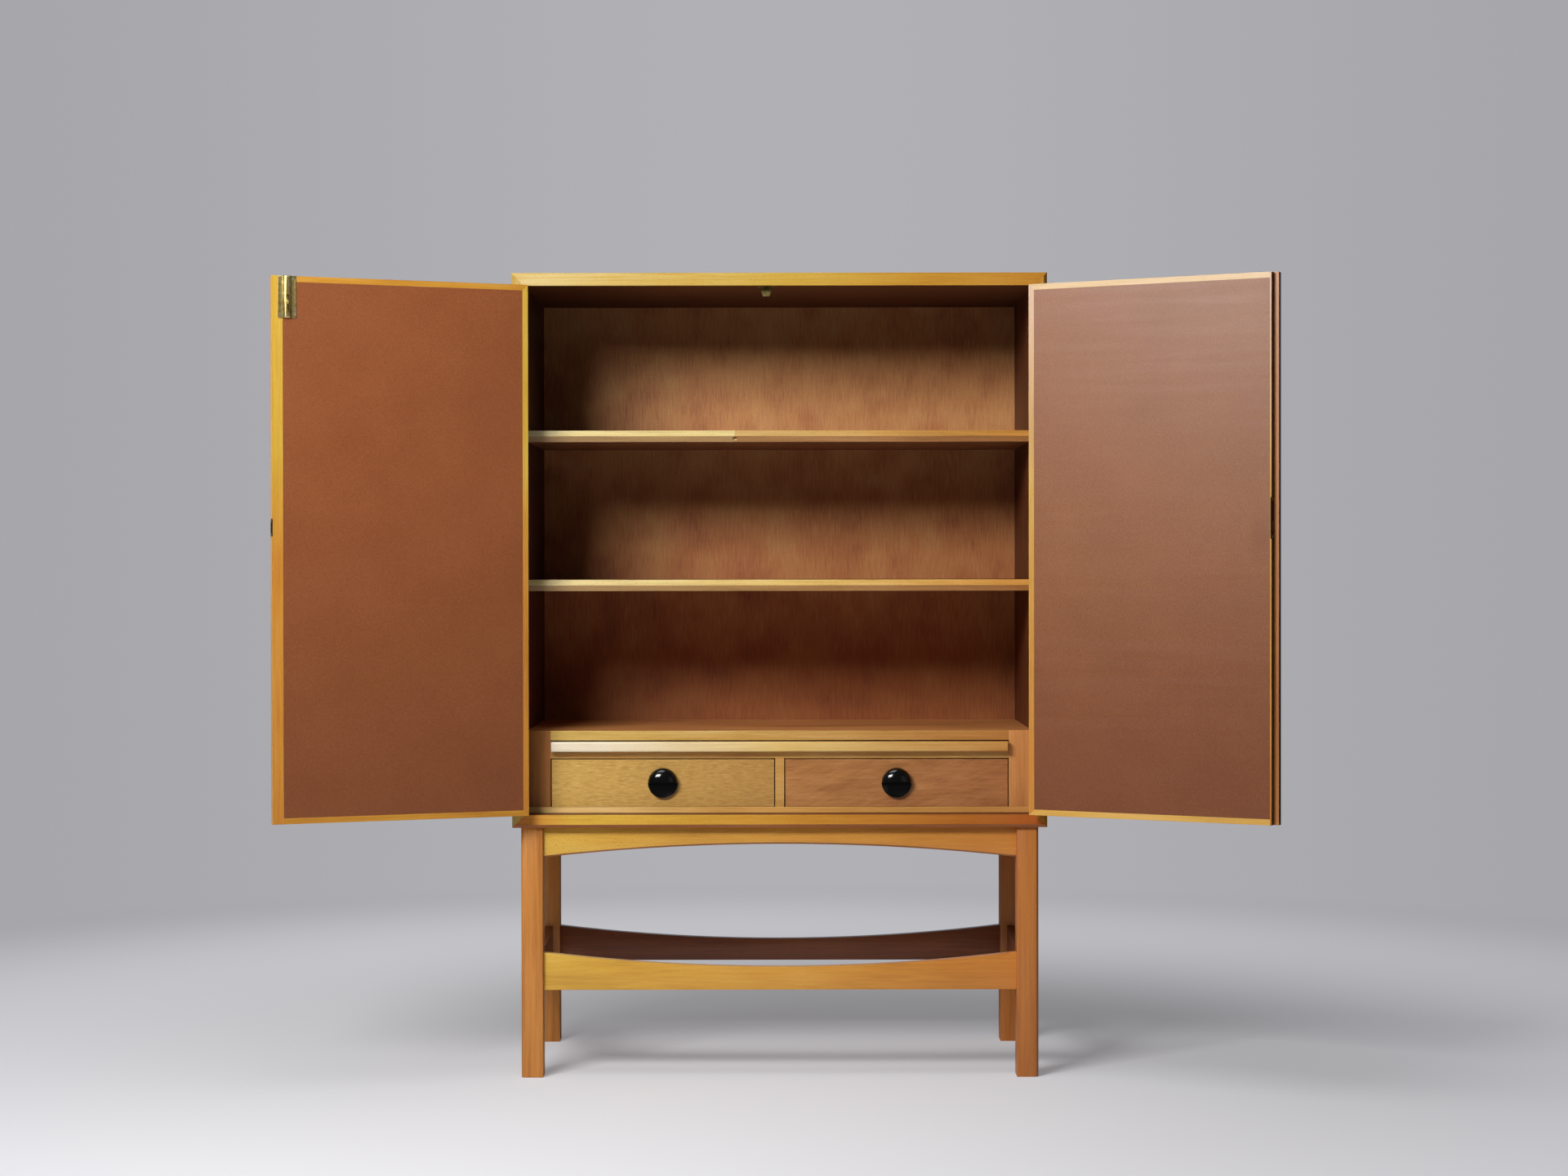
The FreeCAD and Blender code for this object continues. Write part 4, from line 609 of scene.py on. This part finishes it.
# Frame round the drawers: upright stiles of orange-brown beech, a thin golden rail and a divider between
# them, and a paler rail below, all tongued into each other flush at the front.
# painted shade: the left stile is toned darker than the right, for the shade of the left side and door
finish_with(["drawer_stiles"], wood("drawer_stiles_beech", "z", ("#824C1A", "#A86928", "#BB8237"),
                                    ("x", -0.40, (0.40, ("#A46836", "#D08B4C", "#E4A662"))),
                                    band=0.005, length=0.15, contrast=0.7, place=(0.9, 0.4, 0.3)))
finish_with(["slide_rail", "drawer_divider"],
            wood("frame_rails_beech", "x", ("#A26C2E", "#C9954A", "#DBB26C"), band=0.003, length=0.10,
                 contrast=0.7, place=(0.8, 0.1, 0.6)))
# painted light: the bottom rail is toned paler than the other rails, paler still on the left
bottom_rail_change = ("x", -0.40, (0.0, ("#C68C3E", "#E4AC5C", "#EEC27C")),
                      (0.45, ("#B87A36", "#D69850", "#E2AE6C")))
finish_with(["bottom_rail"],
            wood("bottom_rail_pale_beech", "x", ("#CF9C4C", "#EEC578", "#F4D698"), bottom_rail_change,
                 band=0.003, length=0.10, contrast=0.7, place=(0.8, 0.3, 0.6)))

# Drawers: fronts in two different veneers over plain sides, backs and bottoms. The left one is pale gold
# with short fine flecks, the right one is redder with faint stripes that rise to the right.
finish_with(["left_drawer_front"],
            wood("left_front_flecked_veneer", "x", ("#A67832", "#CEA351", "#E0BE6F"),
                 ("x", -0.42, (-0.02, ("#94662C", "#BA8A45", "#CCA45F"))), band=0.0012,
                 length=0.010, drift=0.003, contrast=0.7, pore=0.0008, pores=0.5,
                 figure=(0.012, 0.08, 0.10), place=(0.1, 0.2, 0.9)))
finish_with(["right_drawer_front"],
            wood("right_front_striped_veneer", "x", ("#8E562A", "#B1773F", "#C68E52"),
                 ("x", 0.04, (0.40, ("#87502A", "#AA6C3C", "#C2834E"))), band=0.004, length=0.06,
                 drift=0.03, contrast=0.8, pore=0.0012, pores=0.45, figure=(0.009, 0.34, 1.22),
                 place=(0.5, 0.7, 0.3)))
finish_with(["left_drawer_box", "right_drawer_box", "drawer_runners", "slide_runners"],
            wood("drawer_sides_waxed_birch", "y", ("#B08A58", "#CBA97A", "#DEC39A"), band=0.007,
                 length=0.2, gloss=0.5, coat=0.0, shine=0.3, place=(0.3, 0.9, 0.1)))
finish_with(["left_drawer_bottom", "right_drawer_bottom"],
            wood("drawer_bottom_birch_ply", "x", ("#BE9D70", "#D2B68C", "#E2CCA8"), band=0.012,
                 length=0.4, gloss=0.5, coat=0.0, shine=0.3, place=(0.1, 0.1, 0.1)))

# Cup knobs: pressed black bakelite, polished to a mirror. The upper half is a full dome with a hollow
# under it for the fingertips, the lower half a shallow dish. A screw from inside the drawer holds each.
knob_drum = 0.008
dome_steps = 18
dome_fullness = 2.3
dome_end = 0.985
dish_floor = 0.0035
dish_ball = 0.115
finger_hollow = (0.019, 0.007, 0.006)
rim_round = 0.0006


def ball(centre, radii, segments, low_side):
    """A ball stretched to three radii, or its lower half, as a tool for a hollow."""
    bpy.ops.object.select_all(action="DESELECT")
    bpy.ops.mesh.primitive_uv_sphere_add(segments=segments, ring_count=segments // 2, radius=1.0,
                                         location=centre)
    tool = bpy.context.object
    tool.scale = radii
    bpy.ops.object.transform_apply(location=True, rotation=True, scale=True)
    if low_side:
        # only the half below the middle of the knob is hollowed
        reach = max(radii) * 1.1
        upper = block("above_middle", centre - Vector((reach, reach, 0)),
                      centre + Vector((reach, reach, reach)))
        carve(tool, upper)
    return tool


material, tree = new_material("polished_black_bakelite")
spot = add(tree, "TexCoord")
# a haze of fine scratches a few millimetres across
haze = add(tree, "TexNoise", {"Vector": spot.outputs["Object"], "Scale": 220.0, "Detail": 3.0,
                              "Roughness": 0.6})
rough = add(tree, "MapRange", {"Value": haze.outputs["Fac"], "From Min": 0.3, "From Max": 0.7,
                               "To Min": 0.09, "To Max": 0.15})
stops = [(0.4, linear("#030303")), (0.7, linear("#090706"))]
colour = add(tree, "ValToRGB", {"Fac": haze.outputs["Fac"]}, stops=stops)
skin = add(tree, "BsdfPrincipled", {"Base Color": colour.outputs["Color"], "Roughness": rough.outputs[0],
                                    "IOR": 1.55, "Specular IOR Level": 0.4})
add(tree, "OutputMaterial", {"Surface": skin.outputs[0]})
for label in ("left", "right"):
    low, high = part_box(label + "_knob")
    centre = (low + high) / 2
    radius = (high.x - low.x) / 2
    rise = high.y - low.y - knob_drum
    bpy.ops.object.select_all(action="DESELECT")
    bpy.ops.mesh.primitive_circle_add(vertices=96, radius=radius, fill_type="NGON",
                                      location=(centre.x, high.y, centre.z), rotation=(math.pi / 2, 0, 0))
    knob = bpy.context.object
    knob.name = label + "_cup_knob"
    bpy.ops.object.transform_apply(location=True, rotation=True, scale=True)
    bpy.ops.object.mode_set(mode="EDIT")
    bpy.ops.mesh.select_all(action="SELECT")
    bpy.ops.mesh.extrude_region_move(TRANSFORM_OT_translate={"value": (0, -knob_drum, 0)})
    share, height = 1.0, 0.0
    for step in range(1, dome_steps + 1):
        angle = step / dome_steps * math.pi / 2 * dome_end
        next_share = math.cos(angle) ** (2 / dome_fullness)
        next_height = rise * math.sin(angle) ** (2 / dome_fullness)
        bpy.ops.mesh.extrude_region_move(TRANSFORM_OT_translate={"value": (0, height - next_height, 0)})
        bpy.ops.transform.resize(value=(next_share / share, 1.0, next_share / share),
                                 center_override=(centre.x, high.y - knob_drum - next_height, centre.z))
        share, height = next_share, next_height
    bpy.ops.object.mode_set(mode="OBJECT")
    dish_centre = Vector((centre.x, high.y - dish_floor - dish_ball, centre.z))
    carve(knob, ball(dish_centre, (dish_ball,) * 3, segments=192, low_side=True))
    hollow_centre = Vector((centre.x, high.y - dish_floor - finger_hollow[1], centre.z))
    carve(knob, ball(hollow_centre, finger_hollow, segments=48, low_side=False))
    ease(knob, rim_round, 2, 40)
    place_piece(knob, material, "black_bakelite", label + "_drawer", label + "_knob")

# Pull-out shelf: a mahogany-faced board that slides on runners, with a beech lip along its front whose
# edges and ends are well rounded. The lip is toned almost white at its left end and orange at its right,
# which is painted sheen and light from the lamp on the left.
finish_with(["pull_out_shelf"], wood("pull_out_shelf_mahogany", "x", ("#7A4422", "#9F6536", "#B77F4A"),
                                     place=(0.7, 0.3, 0.8)))
lip_round = 0.0045
lip_arris = 0.0006
# painted sheen: almost white at the left end of the lip
lip_tones = ("#C6AE88", "#E3D3B6", "#EFE6D4")
lip_change = ("x", -0.42, (0.0, ("#BE9046", "#DCB76A", "#E8D08C")), (0.42, ("#A6682B", "#C3863E", "#D39D57")))
low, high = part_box("pull_out_lip")
lip = block("pull_out_lip_rounded", low, high)
bevel_edges(lip, lambda point: abs(point.y - low.y) < on_plane, lip_round, segments=5)
ease(lip, lip_arris, 2, 60)
tint = wood("pull_out_lip_pale_beech", "x", lip_tones, lip_change, band=0.003, length=0.09, contrast=0.7,
            place=(0.4, 0.5, 0.2))
place_piece(lip, tint, "amber_beech", "pull_out", "pull_out_lip")

# Doors: a core veneered with upright mahogany outside, and inside a sheet of hardboard, brown and smooth
# under varnish, that lies flush between beech lippings. These are mitred at the hinge side, butted at the
# meeting side and glued on.
material, tree = new_material("door_facing_varnished_hardboard")
spot = add(tree, "TexCoord")
# mottling a hand wide
mottle = add(tree, "TexNoise", {"Vector": spot.outputs["Object"], "Scale": 9.0, "Detail": 3.0,
                                "Roughness": 0.5})
# felted fibres about two millimetres long
felt = add(tree, "TexNoise", {"Vector": spot.outputs["Object"], "Scale": 460.0, "Detail": 3.0,
                              "Roughness": 0.65})
# the wipe marks of the varnish lie level across the board, 300 mm long and 18 mm high
wipe_size = (0.30, 0.30, 0.018)
wipe = add(tree, "Mapping", {"Vector": spot.outputs["Object"], "Scale": wipe_size}, vector_type="TEXTURE")
wipes = add(tree, "TexNoise", {"Vector": wipe.outputs[0], "Scale": 1.0, "Detail": 3.0, "Roughness": 0.55})
tone = add(tree, "Math", {0: mottle.outputs["Fac"], 1: 0.18}, operation="MULTIPLY")
tone = add(tree, "Math", {0: felt.outputs["Fac"], 1: 0.82, 2: tone.outputs[0]}, operation="MULTIPLY_ADD")
stops = [(0.30, linear("#743C1B")), (0.5, linear("#854924")), (0.70, linear("#95582F"))]
colour = add(tree, "ValToRGB", {"Fac": tone.outputs[0]}, stops=stops)
# the right sheet is toned yellower in its upper part, where the lamp's sheen lies: painted sheen
stops = [(0.30, linear("#794522")), (0.5, linear("#8A532D")), (0.70, linear("#9A6238"))]
painted_sheen_tone = add(tree, "ValToRGB", {"Fac": tone.outputs[0]}, stops=stops)
there = add(tree, "SeparateXYZ", {"Vector": spot.outputs["Object"]})
on_right = add(tree, "MapRange", {"Value": there.outputs["X"], "From Min": -0.1, "From Max": 0.1})
high_up = add(tree, "MapRange", {"Value": there.outputs["Z"], "From Min": 0.6, "From Max": 1.0})
share = add(tree, "Math", {0: on_right.outputs[0], 1: high_up.outputs[0]}, operation="MULTIPLY")
colour = add(tree, "Mix", {0: share.outputs[0], 6: colour.outputs["Color"],
                           7: painted_sheen_tone.outputs["Color"]}, data_type="RGBA")
# the sheets are made a little darker towards the bottom of the doors
darker_towards_bottom = add(tree, "MapRange", {"Value": there.outputs["Z"], "From Min": 0.55, "From Max": 1.1,
                               "To Min": 0.80, "To Max": 1.0})
colour = add(tree, "Mix", {0: 1.0, 6: colour.outputs[2], 7: darker_towards_bottom.outputs[0]}, data_type="RGBA",
             blend_type="MULTIPLY")
# hands have rubbed a dark patch beside the lock of the right door
lock_place = (0.896, -0.335, 1.035)
patch_reach = (0.045, 0.045, 0.085)
worn = add(tree, "VectorMath", {0: spot.outputs["Object"], 1: lock_place}, operation="SUBTRACT")
worn = add(tree, "VectorMath", {0: worn.outputs["Vector"], 1: patch_reach}, operation="DIVIDE")
worn = add(tree, "VectorMath", {0: worn.outputs["Vector"]}, operation="LENGTH")
worn = add(tree, "MapRange", {"Value": worn.outputs["Value"], "From Min": 1.0, "From Max": 0.3,
                              "To Max": 0.55}, interpolation_type="SMOOTHSTEP")
colour = add(tree, "Mix", {0: worn.outputs[0], 6: colour.outputs[2], 7: linear("#6E3414")},
             data_type="RGBA")
relief = add(tree, "Math", {0: felt.outputs["Fac"], 1: 0.12}, operation="MULTIPLY")
relief = add(tree, "Math", {0: wipes.outputs["Fac"], 1: 0.9, 2: relief.outputs[0]},
             operation="MULTIPLY_ADD")
bump = add(tree, "Bump", {"Height": relief.outputs[0], "Strength": 0.22, "Distance": 0.0012})
rough = add(tree, "MapRange", {"Value": wipes.outputs["Fac"], "From Min": 0.3, "From Max": 0.7,
                               "To Min": 0.37, "To Max": 0.45})
skin = add(tree, "BsdfPrincipled", {"Base Color": colour.outputs[2], "Roughness": rough.outputs[0],
                                    "Normal": bump.outputs[0], "Coat Weight": 0.12,
                                    "Coat Roughness": 0.34, "IOR": 1.45})
add(tree, "OutputMaterial", {"Surface": skin.outputs[0]})
finish_with(["left_door_facing", "right_door_facing"], material)

# which way each open door lies, the X of its hinge line, and the width of its meeting lipping
door_stands = {"left": (math.radians(-158.0), -0.48925, 0.021),
               "right": (math.radians(-28.5), 0.48925, 0.013)}
hinge_line_y = -0.1143
lipping_width = 0.011
lap_width = 0.010
just_inside = 0.0004
lipping_tones = {"left_upright": (("#A0601A", "#BE7E28", "#CA9542"),
                                  ("z", 1.0, (1.2, ("#A57F20", "#C69C33", "#D2B04E")))),
                 "left_level": (("#A16618", "#BE8426", "#CB9C40"), None),
                 # painted sheen: the right door's lippings turn pale and creamy towards their tops
                 "right_upright": (("#A66018", "#C27C26", "#CE9440"),
                                   ("z", 0.6, (1.13, ("#A87A28", "#C59539", "#D2AC58")),
                                    (1.5, ("#B28A66", "#CCA482", "#D8B89C")))),
                 "right_level": (("#BC8A34", "#D8A64B", "#E2B868"),
                                 ("z", 0.6, (1.4, ("#B89260", "#D2AE7A", "#DEC298"))))}
# the right door's narrow meeting faces are toned near black as painted shade
edge_tones_of = {"left": ("#BE8C54", "#DAAC74", "#E6C092"),
                 "right": ("#2C1405", "#43230C", "#54301A")}
outer_lipping_tones = {"left": ("#A0601A", "#BE7E28", "#CA9542"),
                       "right": ("#8E4E1C", "#BA7438", "#CC8A4C")}
for side, (angle, hinge_x, meeting_width) in door_stands.items():
    node = side + "_door_lippings"
    low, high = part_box(node)
    middle, half = (low.z + high.z) / 2, (high.z - low.z) / 2
    hinge_foot = Vector((hinge_x, hinge_line_y, 0))
    width_way = Vector((math.cos(angle), math.sin(angle), 0))
    inside_way = Vector((abs(math.sin(angle)), -abs(math.cos(angle)), 0))
    if side == "right":
        inside_way.x = -inside_way.x
    reach = max((vertex.co - hinge_foot).dot(width_way) for vertex in nodes[node].data.vertices)
    upright = copy_of(node, side + "_upright_lippings")
    pick(upright)
    bpy.ops.object.mode_set(mode="EDIT")
    bpy.ops.mesh.select_mode(type="FACE")
    bpy.ops.mesh.select_all(action="DESELECT")
    bpy.ops.object.mode_set(mode="OBJECT")
    for face in upright.data.polygons:
        # a point just inside the wood under the face says which lipping the face belongs to
        inside = face.center - face.normal * just_inside
        across = (inside - hinge_foot).dot(width_way)
        from_end = half - abs(inside.z - middle)
        face.select = from_end < lipping_width and from_end < across and across < reach - meeting_width
    bpy.ops.object.mode_set(mode="EDIT")
    bpy.ops.mesh.separate(type="SELECTED")
    bpy.ops.object.mode_set(mode="OBJECT")
    level = next(piece for piece in bpy.context.selected_objects if piece != upright)
    level.name = side + "_level_lippings"
    for piece, lie, grain in ((upright, "_upright", "z"), (level, "_level", (0, 0, angle))):
        weld(piece)
        tones, change = lipping_tones[side + lie]
        tint = wood(piece.name + "_golden_beech", grain, tones, change, band=0.003, length=0.10,
                    drift=0.03, contrast=0.7, place=(0.2, 0.8, 0.5))
        place_piece(piece, tint, "amber_beech", side + "_door", node, smooth=False)
        # the outer faces, and the lap and narrow faces of the meeting edge, have their own tones; on the
        # right door the narrow faces are toned near black as painted shade
        for part, part_tones in (("edge", edge_tones_of[side]), ("outer", outer_lipping_tones[side])):
            piece.data.materials.append(wood(f"{piece.name}_{part}_beech", grain, part_tones, band=0.003,
                                             contrast=0.8, place=(0.3, 0.2, 0.5)))
        for face in piece.data.polygons:
            across = min((piece.data.vertices[index].co - hinge_foot).dot(width_way)
                         for index in face.vertices)
            in_lap = across > reach - lap_width - near_plane
            if in_lap and face.normal.dot(width_way) > 0.9:
                face.material_index = 1
            elif face.normal.dot(inside_way) < -0.9 or (in_lap and side == "right"):
                face.material_index = 2
    finish_with([side + "_door_core"],
                wood(side + "_door_mahogany_veneer", "z", outer_tones, band=0.012, length=0.6, drift=0.10,
                     place=(0.6, 0.1, 0.3)))

# Hinges, slide bolt, keeper, escutcheon and small screws: pressed and cut brass, screwed on. It has aged
# to a dull gold. The keeper, escutcheon, hinge pins and case screws get a darker brass; on the keeper,
# which lies in shade under the top, that darkness is painted shade.
brass = {"darker_brass_with_painted_shade": ("#5E522C", "#807142", "#9C8C5A"),
         "aged_brass": ("#A8924F", "#CFBB7C", "#E8DCAC")}
for name, tones in brass.items():
    material, tree = new_material(name)
    spot = add(tree, "TexCoord")
    # stains about a centimetre across
    stain = add(tree, "TexNoise", {"Vector": spot.outputs["Object"], "Scale": 90.0, "Detail": 3.0,
                                   "Roughness": 0.5})
    stops = [(place, linear(tone)) for place, tone in zip((0.34, 0.52, 0.68), tones)]
    colour = add(tree, "ValToRGB", {"Fac": stain.outputs["Fac"]}, stops=stops)
    rough = add(tree, "MapRange", {"Value": stain.outputs["Fac"], "From Min": 0.3, "From Max": 0.7,
                                   "To Min": 0.44, "To Max": 0.28})
    lift = add(tree, "Bevel", {"Radius": 0.0003}, samples=4)
    bump = add(tree, "Bump", {"Height": stain.outputs["Fac"], "Normal": lift.outputs[0],
                              "Strength": 0.10, "Distance": 0.0002})
    skin = add(tree, "BsdfPrincipled", {"Base Color": colour.outputs["Color"], "Metallic": 1.0,
                                        "Roughness": rough.outputs[0], "Normal": bump.outputs[0]})
    add(tree, "OutputMaterial", {"Surface": skin.outputs[0]})
    # painted shade: the keeper under the top gets the darker brass
    if name == "darker_brass_with_painted_shade":
        finish_with(["bolt_keeper", "escutcheon", "hinge_pins", "carcass_screws"], material)
finish_with(["left_door_hinge_leaves", "right_door_hinge_leaves", "carcass_hinge_leaves",
             "left_door_screws", "right_door_screws"], material)
# the bolt's case is pressed from sheet with a round-shouldered channel, and its button is domed
door_angle = door_stands["left"][0]
outwards = Vector((-math.sin(door_angle), math.cos(door_angle), 0))
sideways = Vector((math.cos(door_angle), math.sin(door_angle), 0))
stud_rise = 0.0003
channel_half = 0.0055
channel_round = 0.0032
pressed_arris = 0.0004
bolt_case = copy_of("bolt_case", "bolt_case_pressed")
weld(bolt_case)
crown = max(vertex.co.dot(outwards) for vertex in bolt_case.data.vertices) - stud_rise
on_crown = [vertex.co.dot(sideways) for vertex in bolt_case.data.vertices
            if abs(vertex.co.dot(outwards) - crown) < near_plane]
channel_middle = (min(on_crown) + max(on_crown)) / 2
bevel_edges(bolt_case, lambda point: abs(point.dot(outwards) - crown) < near_plane
            and abs(point.dot(sideways) - channel_middle) > channel_half - near_plane,
            channel_round, segments=5, measure="OFFSET")
ease(bolt_case, pressed_arris, 2, 25)
place_piece(bolt_case, material, "aged_brass", "left_door", "bolt_case")
bolt_bar = copy_of("bolt_bar", "bolt_bar_with_domed_button")
weld(bolt_bar)
button_slope = 0.0018
button_round = 0.0010
tip = max(vertex.co.dot(outwards) for vertex in bolt_bar.data.vertices)
bevel_edges(bolt_bar, lambda point: point.dot(outwards) > tip - button_slope - near_plane,
            button_round, segments=4, measure="OFFSET")
place_piece(bolt_bar, material, "aged_brass", "door_bolt", "bolt_bar")

# The end: colours are shown as they are.
bpy.context.scene.view_settings.view_transform = "Standard"
